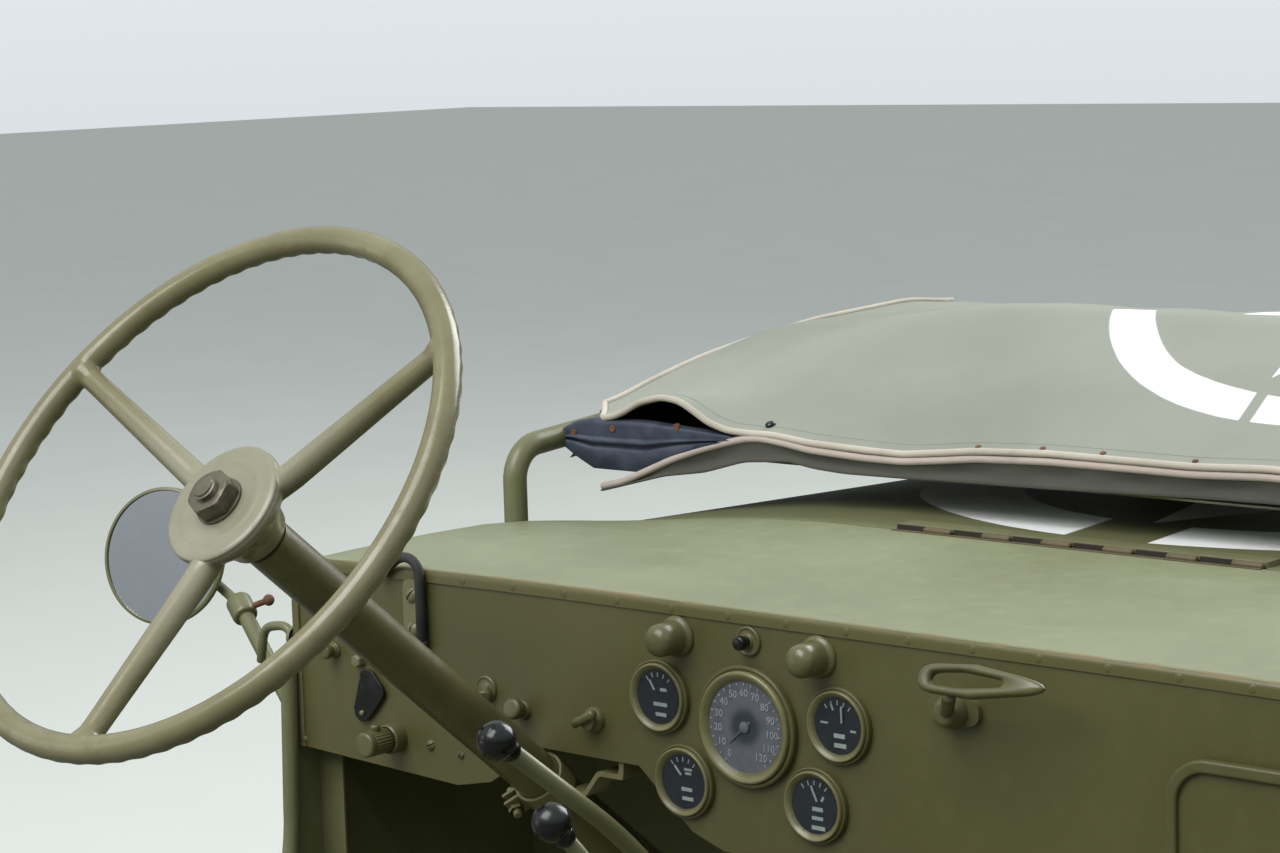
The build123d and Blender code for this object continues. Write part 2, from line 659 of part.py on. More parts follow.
def windscreen_cover():
    """Canvas bag drawn over the folded windscreen, open at both lower corners."""
    reach, beyond = COVER_TOP[2][2] + 5, COVER_HALF + 1
    corner = screen_slab(polygon([(-beyond, COVER_MOUTH - 5), (-COVER_OPEN_X, COVER_MOUTH - 5),
                                  (-COVER_OPEN_X, -TUBE_RADIUS),
                                  (-COVER_FULL_X, 12), (-beyond, 12)]), -reach, reach)
    bag = cover_solid() - cover_solid(COVER_WALL) - corner - mirrored(corner)
    flap = cover_flap()
    return bag + flap + mirrored(flap)


def windscreen_bracket():
    """Left pivot bracket: plate on the body side and the pin that the leg turns on."""
    x = -HALF_WIDTH
    z = HEM - PIVOT_DROP
    plate = slab_x(Pos(PIVOT_Y, z) * RectangleRounded(64, 84, 10), x - 5, x)
    boss = rod((x - 5, PIVOT_Y, z), (-SCREEN_HALF + 6.8, PIVOT_Y, z), 13)
    pin = rod((x, PIVOT_Y, z), (-SCREEN_HALF - 14, PIVOT_Y, z), PIN_RADIUS)
    nut_plane = Plane(origin=(-SCREEN_HALF - 14, PIVOT_Y, z), z_dir=(1, 0, 0))
    nut = extrude(nut_plane * RegularPolygon(11, 6), amount=7)
    return plate + boss + pin + nut


CATCH_PLACES = (152.0 - HALF_WIDTH, HALF_WIDTH - 31.0)


def windscreen_catch(x):
    """Hooked clamp on the dashboard that holds the windscreen upright."""
    face_y = -HEM_PROUD
    plate = slab_y(Pos(x, HEM - 26) * RectangleRounded(20, 56, 5), -3 - HEM_PROUD, face_y)
    screws = None
    for drop in (12, 39):
        screw = turned([(0, 0), (7, 0), (6, 3), (0, 3)], (x, face_y - 3, HEM - drop), REARWARD)
        screws = screw if screws is None else screws + screw
    bar_x = x + 16
    path = [(bar_x, -8, HEM - 56), (bar_x, -8, HEM + 10), (x - 22, -8, HEM + 12),
            (x - 28, -8, HEM - 8)]
    bar = bent_rod(path, [14, 10], 3.2)
    ear = rod((x, -6, HEM - 20), (bar_x, -8, HEM - 20), 3.5)
    return plate + screws + bar + ear


def windscreen_catches():
    """The clamps at both ends of the dashboard."""
    left, right = CATCH_PLACES
    return windscreen_catch(left) + windscreen_catch(right)


def bezel(radius, lip, proud):
    """Profile of an instrument: flange, raised ring and body behind the dashboard."""
    glass = radius - lip
    return [(0, -40), (radius - 5 - TOUCH_GAP - 2, -40), (radius - 5 - TOUCH_GAP - 2, 0), (radius, 0),
            (radius, proud * 0.35), (radius - lip * 0.35, proud), (glass + 1.5, proud),
            (glass, proud - 2.5), (0, proud - 2.5)]


def speedometer():
    """Large dial: housing, rim ring and dial plate in one piece."""
    return turned(bezel(SPEEDO_RADIUS, 9.0, 9.0), on_dash(DIAL_X, DIAL_DROP), REARWARD)


def small_gauges():
    """The four small gauges round the speedometer."""
    gauges = [turned(bezel(GAUGE_RADIUS, 7.0, 7.5), on_dash(x, drop), REARWARD)
              for x, drop in gauge_places()]
    return Compound(children=[part for gauge in gauges for part in gauge.solids()])


def gauge_glasses():
    """Glass discs over the five dials."""
    dials = [(DIAL_X, DIAL_DROP, SPEEDO_RADIUS - 9.0, 9.0)]
    dials += [(x, drop, GAUGE_RADIUS - 7.0, 7.5) for x, drop in gauge_places()]
    discs = []
    for x, drop, radius, proud in dials:
        ledge = proud - 2.5
        disc = turned([(0, ledge + 0.2), (radius - 0.2, ledge + 0.2), (radius - 0.2, ledge + 1.4),
                       (0, ledge + 1.4)], on_dash(x, drop), REARWARD)
        discs += disc.solids()
    return Compound(children=discs)


def panel_lamps():
    """Hooded lamps over the dials."""
    lamps = []
    for dx in (-LAMP_DX, LAMP_DX):
        x = DIAL_X + dx
        profile = [(0, 0), (17.5, 0), (17.5, 2), (15, 4.5), (12.8, 5), (12.8, 18)]
        steps = [(12.8 * cos(radians(t)), 18 + 11 * sin(radians(t))) for t in (22, 45, 68)]
        lamp = turned(profile + steps + [(0, 29)], on_dash(x, LAMP_DROP + 2, -HEM_PROUD), REARWARD)
        lamps += lamp.solids()
    return Compound(children=lamps)


def pull_knobs():
    """Choke, throttle and the other small pull knobs."""
    knobs = []
    for x, drop, stem, knob, reach in KNOB_TABLE:
        base_y = -HEM_PROUD if drop < 20 else 0.0
        profile = [(0, 0), (knob, 0), (knob, 2.5), (stem, 4), (stem, reach * 0.45),
                   (knob * 0.9, reach * 0.55), (knob, reach * 0.7), (knob, reach * 0.92),
                   (knob * 0.7, reach), (0, reach)]
        knobs += turned(profile, on_dash(x, drop, base_y), REARWARD).solids()
    return Compound(children=knobs)


def light_switch():
    """Main light switch with its lock button."""
    x, drop = LIGHT_SWITCH
    body = turned([(0, 0), (12.5, 0), (12.5, 12), (10.5, 13), (10.5, 34), (9, 38), (0, 38)],
                  on_dash(x, drop), REARWARD)
    button = rod(on_dash(x, drop - 8, -24), on_dash(x, drop - 15, -24), 4)
    return body + button


def ignition_switch():
    """Ignition switch with a turning lever."""
    x, drop = IGNITION
    body = turned([(0, 0), (11, 0), (11, 4), (7, 8), (7, 16), (0, 16)], on_dash(x, drop), REARWARD)
    lever_face = Pos(x - 6, HEM - drop) * SlotOverall(30, 9, rotation=-12)
    return body + slab_y(lever_face, -26, -15)


def lever_plate():
    """Teardrop plate that turns on a pivot near the dashboard's left end."""
    (px, pd), (tx, td) = LEVER_PIVOT, LEVER_TOP
    low, high = Pos(px, HEM - pd) * Circle(13), Pos(tx, HEM - td) * Circle(5)
    body = make_hull(low.edges() + high.edges())
    plate = slab_y(body, -6, -3)
    post = rod(on_dash(px, pd), on_dash(px, pd, -10), 5)
    nut = rod(on_dash(tx, td, -3), on_dash(tx, td, -12), 6)
    return plate + post + nut


def handbrake_handle():
    """Hand brake pull: boss on the dashboard, draw rod and the long looped grip."""
    x, drop = BRAKE_PLATE
    plate = slab_y(Pos(x, HEM - drop) * RectangleRounded(44, 22, 9), -5, 0)
    guide = turned([(0, 0), (13, 0), (11, 12), (8, 16), (0, 16)], on_dash(x, drop, -5), REARWARD)
    middle = (BRAKE_GRIP_X, -48, HEM - BRAKE_GRIP_DROP)
    rod_end = (middle[0] - 22, middle[1] + 6, middle[2] - 8)
    stem = rod(on_dash(x, drop, -12), rod_end, 6)
    a = radians(BRAKE_GRIP_LEAN)
    plane = Plane(origin=middle, x_dir=(1, 0, 0), z_dir=(0, -cos(a), sin(a)))
    outline = make_hull((Pos(-36, -3) * Circle(15)).edges() + (Pos(6, 0) * Circle(16)).edges()
                        + (Pos(51, 4) * Circle(4)).edges())
    loop = Pos(-8, 0) * Rot(0, 0, 3) * SlotOverall(62, 15)
    grip = extrude(plane * (outline - loop), amount=BRAKE_GRIP_THICK / 2, both=True)
    return plate + guide + stem + grip


def column_bracket():
    """Clamp round the column and the bent strap to the dashboard's lower edge."""
    clamp_s = 482.0
    ring_plane = wheel_plane(clamp_s + 14)
    ring = extrude(ring_plane * (Circle(JACKET_RADIUS + 4.5) - Circle(JACKET_RADIUS + TOUCH_GAP)),
                   amount=28)
    _, y, z = column_point(clamp_s)
    z_edge = HEM - NOTCH_TOP
    strap_x0, strap_x1 = COLUMN_X + JACKET_RADIUS + 2, COLUMN_X + 96
    run = polygon([(strap_x0, z - 4), (strap_x0 + 34, z - 4), (strap_x0 + 50, z_edge + 3),
                   (strap_x1, z_edge + 3), (strap_x1, z_edge + 7), (strap_x0 + 48, z_edge + 7),
                   (strap_x0 + 31, z), (strap_x0, z)])
    strap = slab_y(run, SHEET, SHEET + 26)
    strap -= rod(column_point(300), column_point(600), JACKET_RADIUS + TOUCH_GAP)
    bolt = rod((COLUMN_X - 14, y + 4, z - 26), (COLUMN_X + 14, y + 4, z - 26), 4)
    ears = [Pos(COLUMN_X + dx, y + 2, z - 26) * Box(4, 22, 16) for dx in (-8, 8)]
    clamp = ring + ears + bolt
    clamp -= rod(column_point(300), column_point(600), JACKET_RADIUS + TOUCH_GAP)
    return clamp + strap


def steering_column():
    """Column tube with its bearing collar at the top."""
    tube = rod(column_point(JACKET_TOP), column_point(BOX_START), JACKET_RADIUS)
    tube -= rod(column_point(JACKET_TOP + 12), column_point(BOX_START + 1),
                JACKET_RADIUS - JACKET_WALL)
    tube -= rod(column_point(JACKET_TOP - 1), column_point(JACKET_TOP + 20),
                SHAFT_RADIUS + RUNNING)
    return tube


def sector_point():
    """Centre of the drop arm's shaft."""
    x, y, z = column_point(BOX_START + BOX_LENGTH / 2)
    a = radians(COLUMN_ANGLE)
    offset = 44.0
    return (x, y - offset * sin(a), z - offset * cos(a))


SECTOR_INNER = COLUMN_X + 30
SECTOR_OUTER = COLUMN_X - 62
BOX_BOLT_SPACING = 92.0
BOX_BOLT_DROP = 42.0


def steering_box():
    """Worm housing at the column's foot, with the cross housing of the drop arm's shaft."""
    worm = turned([(0, 0), (JACKET_RADIUS + 7, 0), (JACKET_RADIUS + 7, 14), (BOX_RADIUS, 24),
                   (BOX_RADIUS, BOX_LENGTH - 12), (BOX_RADIUS - 8, BOX_LENGTH), (0, BOX_LENGTH)],
                  column_point(BOX_START), DOWN_COLUMN)
    _, y, z = sector_point()
    cross = rod((SECTOR_OUTER, y, z), (SECTOR_INNER, y, z), SECTOR_RADIUS)
    lid = rod((SECTOR_INNER - 4, y, z), (SECTOR_INNER + 8, y, z), SECTOR_RADIUS + 8)
    shaft = rod((SECTOR_OUTER - 1, y, z), (SECTOR_OUTER + 30, y, z), 12.5)
    foot = slab_x(Pos(y, z - 36) * RectangleRounded(124, 52, 16), SECTOR_INNER - 22,
                  SECTOR_INNER - 8)
    body = worm + cross + lid + foot - shaft
    for dy in (-BOX_BOLT_SPACING / 2, BOX_BOLT_SPACING / 2):
        body -= rod((SECTOR_INNER - 40, y + dy, z - BOX_BOLT_DROP),
                    (SECTOR_INNER + 20, y + dy, z - BOX_BOLT_DROP), 5.5)
    return body


def drop_arm():
    """Drop arm on its shaft, with the bore for the drag link's ball at its lower end."""
    _, y, z = sector_point()
    x1 = SECTOR_OUTER - 4
    x0 = x1 - 14
    shaft = rod((x0 - 8, y, z), (SECTOR_OUTER + 28, y, z), 12.2)
    upper = Pos(y, z) * Circle(24)
    lower = Pos(y, z - DROP_ARM_LENGTH) * Circle(16)
    arm = slab_x(make_hull(upper.edges() + lower.edges()), x0, x1)
    bore = rod((x0 - 1, y, z - DROP_ARM_LENGTH), (x1 + 1, y, z - DROP_ARM_LENGTH), 8)
    return arm + shaft - bore


def steering_wheel():
    """Rim with its finger grips, and three tube spokes dished down to the hub."""
    rim_plane = wheel_plane()
    rim = rim_plane * Torus(RIM_RADIUS, RIM_TUBE)
    wheel = rim
    reach = HUB_RADIUS - 10
    for i in range(3):
        angle = radians(SPOKE_START + 120 * i)
        outer = rim_plane.from_local_coords((RIM_RADIUS * cos(angle), RIM_RADIUS * sin(angle), 0))
        inner = rim_plane.from_local_coords((reach * cos(angle), reach * sin(angle),
                                             -WHEEL_DISH - SPOKE_ROOT))
        start = Plane(origin=inner, z_dir=outer - inner)
        span = (outer - inner).length
        root = start * Circle(SPOKE_ROOT)
        tip = start.offset(span) * Circle(SPOKE_RADIUS)
        wheel += loft([root, tip])
    core = rod(column_point(WHEEL_DISH - 2), column_point(WHEEL_DISH + HUB_DEPTH + 2),
               HUB_RADIUS + TOUCH_GAP)
    return wheel - core


def wheel_hub():
    """Hub disc that the spokes run into, with the bell that narrows to the column."""
    r, bore = HUB_RADIUS, SHAFT_RADIUS + TOUCH_GAP
    profile = [(bore, 0), (r - 3, 0), (r, 3), (r, HUB_DISC), (r - 6, HUB_DISC + 8),
               (r - 16, HUB_DISC + 17), (r - 22, HUB_DEPTH - 6), (r - 23, HUB_DEPTH),
               (bore, HUB_DEPTH)]
    return turned(profile, column_point(WHEEL_DISH), DOWN_COLUMN)


def hub_nut():
    """Shaft end with the nut and washer that hold the wheel."""
    shaft = rod(column_point(WHEEL_DISH - 22), column_point(JACKET_TOP + 90), SHAFT_RADIUS)
    washer = rod(column_point(WHEEL_DISH - 3), column_point(WHEEL_DISH), 19)
    nut = extrude(wheel_plane(WHEEL_DISH - 3) * RegularPolygon(18.5, 6), amount=13)
    collar = rod(column_point(WHEEL_DISH + HUB_DEPTH), column_point(JACKET_TOP - 3), 16)
    return shaft + washer + nut + collar


GEAR_ROUTE = [(-35, -30, 110), (-35, -30, 200), (-45, -80, 330), (-62, -160, 448), (-70, -292, 552)]
TRANSFER_ROUTES = [
    [(22, -95, 110), (22, -95, 200), (12, -150, 320), (0, -210, 400), (-24, -290, 503)],
    [(66, -95, 110), (66, -95, 190), (60, -135, 270), (50, -180, 330), (30, -246, 418)],
]


def lever(points, radii, shaft_radius, knob_radius):
    """Bent lever with a ball knob at its top."""
    stem = bent_rod(points, radii, shaft_radius)
    return stem + Pos(*points[-1]) * Sphere(knob_radius)


def gear_lever():
    """Long gear lever."""
    return lever(GEAR_ROUTE, [60, 90, 90], 6.5, 13.5)


def transfer_levers():
    """The pair of shorter levers beside the gear lever."""
    return Compound(children=[solid for route in TRANSFER_ROUTES
                              for solid in lever(route, [50, 70, 70], 5.5, 13.5).solids()])


def lever_boots():
    """Rubber boots where the levers come out of the gearbox cover."""
    boots = []
    top = FLOOR_TOP + TUNNEL_HEIGHT
    for (x, y, radius), lever_radius in zip(LEVER_FEET, (6.5, 5.5, 5.5)):
        bore = lever_radius + 0.05
        profile = [(bore, 0), (radius, 0), (radius, 4), (radius - 7, 8), (radius - 7, 16),
                   (radius - 12, 20), (bore + 4, 34), (bore, 34)]
        boots += turned(profile, (x, y, top), (0, 0, 1)).solids()
    return Compound(children=boots)


def glovebox_shell():
    """Box behind the dashboard, open at the lid."""
    x0, x1 = LID_LEFT + 4, LID_LEFT + LID_WIDTH - 4
    z1 = HEM - LID_TOP_DROP - 4
    z0 = z1 - LID_HEIGHT + 8
    outer = Pos((x0 + x1) / 2, SHEET + GLOVEBOX_DEPTH / 2, (z0 + z1) / 2) * Box(
        x1 - x0, GLOVEBOX_DEPTH, z1 - z0)
    inner = Pos(0, -SHEET, 0) * Pos((x0 + x1) / 2, SHEET + GLOVEBOX_DEPTH / 2, (z0 + z1) / 2) * Box(
        x1 - x0 - 2 * SHEET, GLOVEBOX_DEPTH, z1 - z0 - 2 * SHEET)
    return outer - inner


def lid_face(inset=0.0):
    """Outline of the glovebox lid."""
    return Pos(LID_LEFT + LID_WIDTH / 2, HEM - LID_TOP_DROP - LID_HEIGHT / 2) * RectangleRounded(
        LID_WIDTH - 2 * inset, LID_HEIGHT - 2 * inset, LID_CORNER - inset)


LID_GAP = 5.0


def glovebox_lid():
    """Lid with a rolled bead round its edge, a turn catch and its hinge eyes."""
    sheet = slab_y(lid_face(), -LID_GAP - SHEET, -LID_GAP)
    bead = slab_y(lid_face() - lid_face(9), -LID_GAP - SHEET - 4, -LID_GAP - SHEET)
    bead = fillet(bead.faces().sort_by(Axis.Y)[0].edges(), 2.0)
    catch = rod(on_dash(LID_LEFT + LID_WIDTH / 2, LID_TOP_DROP + 24, -LID_GAP - SHEET),
                on_dash(LID_LEFT + LID_WIDTH / 2, LID_TOP_DROP + 24, -LID_GAP - 14), 8)
    handle = slab_y(Pos(LID_LEFT + LID_WIDTH / 2, HEM - LID_TOP_DROP - 24) * SlotOverall(34, 10),
                    -LID_GAP - 20, -LID_GAP - 12)
    lid = sheet + bead + catch + handle
    for x in LID_EYES:
        lid += rod((x - 14, LID_AXIS_Y, lid_axis_z()), (x + 14, LID_AXIS_Y, lid_axis_z()), 5)
        lid += Pos(x, (LID_AXIS_Y - LID_GAP - SHEET / 2) / 2, lid_axis_z() + 6) * Box(24, 7, 12)
    for x in LID_EYES:
        lid -= rod((x - 20, LID_AXIS_Y, lid_axis_z()), (x + 20, LID_AXIS_Y, lid_axis_z()),
                   2.5 + RUNNING)
    return lid


LID_EYES = (LID_LEFT + 50, LID_LEFT + LID_WIDTH - 50)
LID_AXIS_Y = -LID_GAP - 1


def lid_axis_z():
    """Height of the lid's hinge axis, just under its lower edge."""
    return HEM - LID_TOP_DROP - LID_HEIGHT - 6


def lid_hinges():
    """Hinge brackets on the dashboard with the pins that the lid turns on."""
    solids = []
    for x in LID_EYES:
        z = lid_axis_z()
        pin = rod((x - 20, LID_AXIS_Y, z), (x + 20, LID_AXIS_Y, z), 2.5)
        for side in (-1, 1):
            pin += Pos(x + side * 18, LID_AXIS_Y / 2 - 1.5, z) * Box(4, -LID_AXIS_Y + 3, 9)
        solids += pin.solids()
    return Compound(children=solids)


MIRROR_FOOT = (-HALF_WIDTH - 11, 8, HEM - 133)
MIRROR_BEND = (-HALF_WIDTH - 125, 51, HEM - 60)
MIRROR_END = (-HALF_WIDTH - 216, 68, HEM - 28)
MIRROR_CENTRE = (-HALF_WIDTH - 200, 32, HEM - 21)
MIRROR_RADIUS = 62.0
MIRROR_NORMAL = (0.3, -0.93, 0.2)


def mirror_arm():
    """Stepped arm of the outside mirror with its clamp and foot plate."""
    x, y, z = MIRROR_FOOT
    foot = slab_x(Pos(y + 10, z) * RectangleRounded(34, 34, 8), -HALF_WIDTH - 3, -HALF_WIDTH)
    stub = rod((-HALF_WIDTH - 2, y + 4, z + 2), (-HALF_WIDTH - 14, y + 4, z + 2), 11)
    lower = rod(MIRROR_FOOT, MIRROR_BEND, 7)
    upper = rod(MIRROR_BEND, MIRROR_END, 4.5)
    mid = [(a * 0.06 + b * 0.94) for a, b in zip(MIRROR_FOOT, MIRROR_BEND)]
    clamp = rod(mid, MIRROR_BEND, 10)
    screw = rod(MIRROR_BEND, (MIRROR_BEND[0] + 8, MIRROR_BEND[1] - 20, MIRROR_BEND[2] + 6), 3)
    return foot + stub + lower + upper + clamp + screw


def mirror_head():
    """Round dished mirror back with its rim."""
    profile = [(0, -30), (9, -30), (10, -18), (34, -13), (54, -4), (MIRROR_RADIUS, 0),
               (MIRROR_RADIUS, 5), (MIRROR_RADIUS - 3, 6), (MIRROR_RADIUS - 3, 1), (0, 1)]
    return turned(profile, MIRROR_CENTRE, MIRROR_NORMAL)


def mirror_glass():
    """Mirror disc in its rim."""
    profile = [(0, 1.2), (MIRROR_RADIUS - 3.3, 1.2), (MIRROR_RADIUS - 3.3, 4), (0, 4)]
    return turned(profile, MIRROR_CENTRE, MIRROR_NORMAL)


def rope_hook():
    """Bent rod hook on the body side."""
    x = -HALF_WIDTH
    z = HEM - 88
    points = [(x - 3.5, 6, z + 18), (x - 14, 6, z + 29), (x - 42, 6, z + 24), (x - 48, 6, z - 8)]
    hook = bent_rod(points, [7, 13], 3.2)
    pad = slab_x(Pos(6, z + 20) * Circle(10), x - 5, x - TOUCH_GAP)
    return hook + pad


def write_parts():
    """Build every piece and write it to its own file."""
    os.makedirs("parts", exist_ok=True)
    left_side = side_panel()
    left_bracket = windscreen_bracket()
    pieces = {
        "scuttle_top": scuttle_top(),
        "dash_panel": dash_panel(),
        "bulkhead": bulkhead(),
        "side_panel_left": left_side,
        "side_panel_right": mirrored(left_side),
        "toe_board": toe_board(),
        "front_floor": front_floor(),
        "tunnel_cover": tunnel_cover(),
        "floor_channels": floor_channels(),
        "bonnet": bonnet(),
        "bonnet_hinge": bonnet_hinge(),
        "bonnet_rest_blocks": bonnet_rest_blocks(),
        "windscreen_frame": windscreen_frame(),
        "windscreen_inner_frame": windscreen_inner_frame(),
        "windscreen_glass": windscreen_glass(),
        "windscreen_seal": windscreen_seal(),
        "windscreen_cover": windscreen_cover(),
        "windscreen_bracket_left": left_bracket,
        "windscreen_bracket_right": mirrored(left_bracket),
        "windscreen_catches": windscreen_catches(),
        "speedometer": speedometer(),
        "small_gauges": small_gauges(),
        "gauge_glasses": gauge_glasses(),
        "panel_lamps": panel_lamps(),
        "pull_knobs": pull_knobs(),
        "light_switch": light_switch(),
        "ignition_switch": ignition_switch(),
        "lever_plate": lever_plate(),
        "handbrake_handle": handbrake_handle(),
        "glovebox_shell": glovebox_shell(),
        "glovebox_lid": glovebox_lid(),
        "lid_hinges": lid_hinges(),
        "column_bracket": column_bracket(),
        "steering_column": steering_column(),
        "steering_box": steering_box(),
        "drop_arm": drop_arm(),
        "steering_wheel": steering_wheel(),
        "wheel_hub": wheel_hub(),
        "hub_nut": hub_nut(),
        "gear_lever": gear_lever(),
        "transfer_levers": transfer_levers(),
        "lever_boots": lever_boots(),
        "mirror_arm": mirror_arm(),
        "mirror_head": mirror_head(),
        "mirror_glass": mirror_glass(),
        "rope_hook": rope_hook(),
    }
    for name, shape in pieces.items():
        export_step(shape, f"parts/{name}.step")


write_parts()
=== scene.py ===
"""Looks of the front body section of a light military 4x4 car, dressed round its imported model.

Metres, X to the car's right, Y forward, Z up, from the middle of the four body bolts.
"""
import json
import logging
import math
from collections.abc import Sequence
from dataclasses import dataclass

import bmesh
import bpy
import numpy as np
from mathutils import Matrix, Vector

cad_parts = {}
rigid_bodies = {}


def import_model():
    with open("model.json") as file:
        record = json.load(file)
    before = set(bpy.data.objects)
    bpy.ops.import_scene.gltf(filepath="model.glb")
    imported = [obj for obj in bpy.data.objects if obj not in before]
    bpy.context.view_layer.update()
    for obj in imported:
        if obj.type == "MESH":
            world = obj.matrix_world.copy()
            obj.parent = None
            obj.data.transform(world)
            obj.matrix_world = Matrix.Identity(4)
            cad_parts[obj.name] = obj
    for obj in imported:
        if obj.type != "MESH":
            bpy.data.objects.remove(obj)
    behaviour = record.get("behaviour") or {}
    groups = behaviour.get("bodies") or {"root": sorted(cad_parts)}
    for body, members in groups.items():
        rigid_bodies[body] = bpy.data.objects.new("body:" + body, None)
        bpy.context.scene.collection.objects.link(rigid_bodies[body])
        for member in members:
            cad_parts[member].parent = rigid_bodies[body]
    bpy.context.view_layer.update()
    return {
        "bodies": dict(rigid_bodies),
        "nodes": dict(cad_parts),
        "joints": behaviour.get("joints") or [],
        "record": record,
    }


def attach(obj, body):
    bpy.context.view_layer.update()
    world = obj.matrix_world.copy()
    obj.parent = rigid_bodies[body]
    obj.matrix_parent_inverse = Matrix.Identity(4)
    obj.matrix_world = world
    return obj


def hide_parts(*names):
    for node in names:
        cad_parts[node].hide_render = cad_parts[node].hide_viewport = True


log = logging.getLogger("body_section")

MM = 0.001
# Height of the dashboard's top edge, from which drops are measured down.
HEM = 580.0
REARWARD = (0.0, -1.0, 0.0)
OUTWARD = (-1.0, 0.0, 0.0)
RIGHT, AHEAD, UP = (1.0, 0.0, 0.0), (0.0, 1.0, 0.0), (0.0, 0.0, 1.0)
# Lean of the steering column, in degrees.
COLUMN_LEAN = 40.0
# Place of the folded windscreen's lower bar along the car and in height, and its slope.
SCREEN_FOOT = (376.0, 642.0)
SCREEN_SLOPE = math.radians(4.2)
SCREEN_RISE = SCREEN_FOOT[1] - HEM

Colour = tuple[float, float, float]
Point = tuple[float, float, float]


def srgb(red: int, green: int, blue: int) -> Colour:
    """Linear colour of a screen colour given in steps of 255."""
    return tuple(((c / 255 + 0.055) / 1.055) ** 2.4 if c > 10 else c / 3294.6
                 for c in (red, green, blue))


def on_dash(x: float, drop: float, proud: float = 0.0) -> Point:
    """Place in front of the dashboard, at a drop below its top edge."""
    return (x, -proud, HEM - drop)


class Wire:
    """A node socket that Python's operators work on."""

    def __init__(self, paint: "Paint", socket: bpy.types.NodeSocket) -> None:
        """Holds the socket and the material that it belongs to."""
        self.paint, self.socket = paint, socket

    def _calc(self, operation: str, *values: "Wire | float") -> "Wire":
        """Adds one Math node."""
        return self.paint.node("ShaderNodeMath", dict(enumerate(values)), operation=operation)

    def __add__(self, other: "Wire | float") -> "Wire":
        """Sum."""
        return self._calc("ADD", self, other)

    __radd__ = __add__

    def __mul__(self, other: "Wire | float") -> "Wire":
        """Product."""
        return self._calc("MULTIPLY", self, other)

    __rmul__ = __mul__

    def __sub__(self, other: "Wire | float") -> "Wire":
        """Difference."""
        return self._calc("SUBTRACT", self, other)

    def __rsub__(self, other: "Wire | float") -> "Wire":
        """Difference from a number."""
        return self._calc("SUBTRACT", other, self)

    def __pow__(self, other: float) -> "Wire":
        """Power."""
        return self._calc("POWER", self, other)

    def __gt__(self, other: "Wire | float") -> "Wire":
        """One where this value is the greater."""
        return self._calc("GREATER_THAN", self, other)

    def __abs__(self) -> "Wire":
        """Size without its sign."""
        return self._calc("ABSOLUTE", self)

    def of(self, operation: str, *values: "Wire | float") -> "Wire":
        """Any other Math operation on this value."""
        return self._calc(operation, self, *values)

    def ramp(self, low: float, high: float) -> "Wire":
        """Smooth step from nought to one as this value goes from low to high."""
        return self.paint.node("ShaderNodeMapRange", {0: self, 1: low, 2: high},
                               interpolation_type="SMOOTHSTEP")


class Paint:
    """One node material in the making."""

    def __init__(self, name: str) -> None:
        """Starts an empty material with an output node."""
        self.material = bpy.data.materials.new(name)
        self.material.use_nodes = True
        self.tree = self.material.node_tree
        self.tree.nodes.clear()
        self.output = self.tree.nodes.new("ShaderNodeOutputMaterial")
        self._place: Wire | None = None

    def node(self, kind: str, inputs: dict | None = None, output: int | str = 0,
             **settings: object) -> Wire:
        """Adds a node.

        Args:
            kind: the node's type.
            inputs: values or wires by socket name or number.
            output: which output to hand on.
            settings: the node's own properties, set before its sockets.

        Returns:
            The chosen output as a wire.
        """
        made = self.tree.nodes.new(kind)
        for key, value in settings.items():
            setattr(made, key, value)
        for key, value in (inputs or {}).items():
            socket = made.inputs[key]
            if isinstance(value, Wire):
                self.tree.links.new(value.socket, socket)
            elif isinstance(value, tuple) and len(value) == 3 and socket.type == "RGBA":
                socket.default_value = (*value, 1.0)
            else:
                socket.default_value = value
        return Wire(self, made.outputs[output])

    @property
    def place(self) -> Wire:
        """Object coordinates, in metres."""
        if self._place is None:
            self._place = self.node("ShaderNodeTexCoord", output="Object")
        return self._place

    def axes(self) -> tuple[Wire, Wire, Wire]:
        """X, Y and Z of the place."""
        split = self.node("ShaderNodeSeparateXYZ", {0: self.place})
        return tuple(Wire(self, split.socket.node.outputs[i]) for i in range(3))

    def noise(self, scale: float, detail: float = 3.0, roughness: float = 0.55) -> Wire:
        """Noise from 0 to 1, with its scale in features a metre."""
        return self.node("ShaderNodeTexNoise", {"Vector": self.place, "Scale": scale,
                                                "Detail": detail, "Roughness": roughness})

    def mix(self, factor: Wire | float, first: Wire | Colour, second: Wire | Colour) -> Wire:
        """Mixes two colours."""
        return self.node("ShaderNodeMix", {0: factor, 6: first, 7: second}, output=2,
                         data_type="RGBA")

    def bump(self, height: Wire, strength: float) -> Wire:
        """Normal that follows a height in metres."""
        return self.node("ShaderNodeBump", {"Strength": strength, "Distance": 1.0,
                                            "Height": height})

    def surface(self, inputs: dict) -> bpy.types.Material:
        """Ends the material in one Principled shader with the given inputs."""
        shader = self.node("ShaderNodeBsdfPrincipled", inputs)
        self.tree.links.new(shader.socket, self.output.inputs["Surface"])
        return self.material


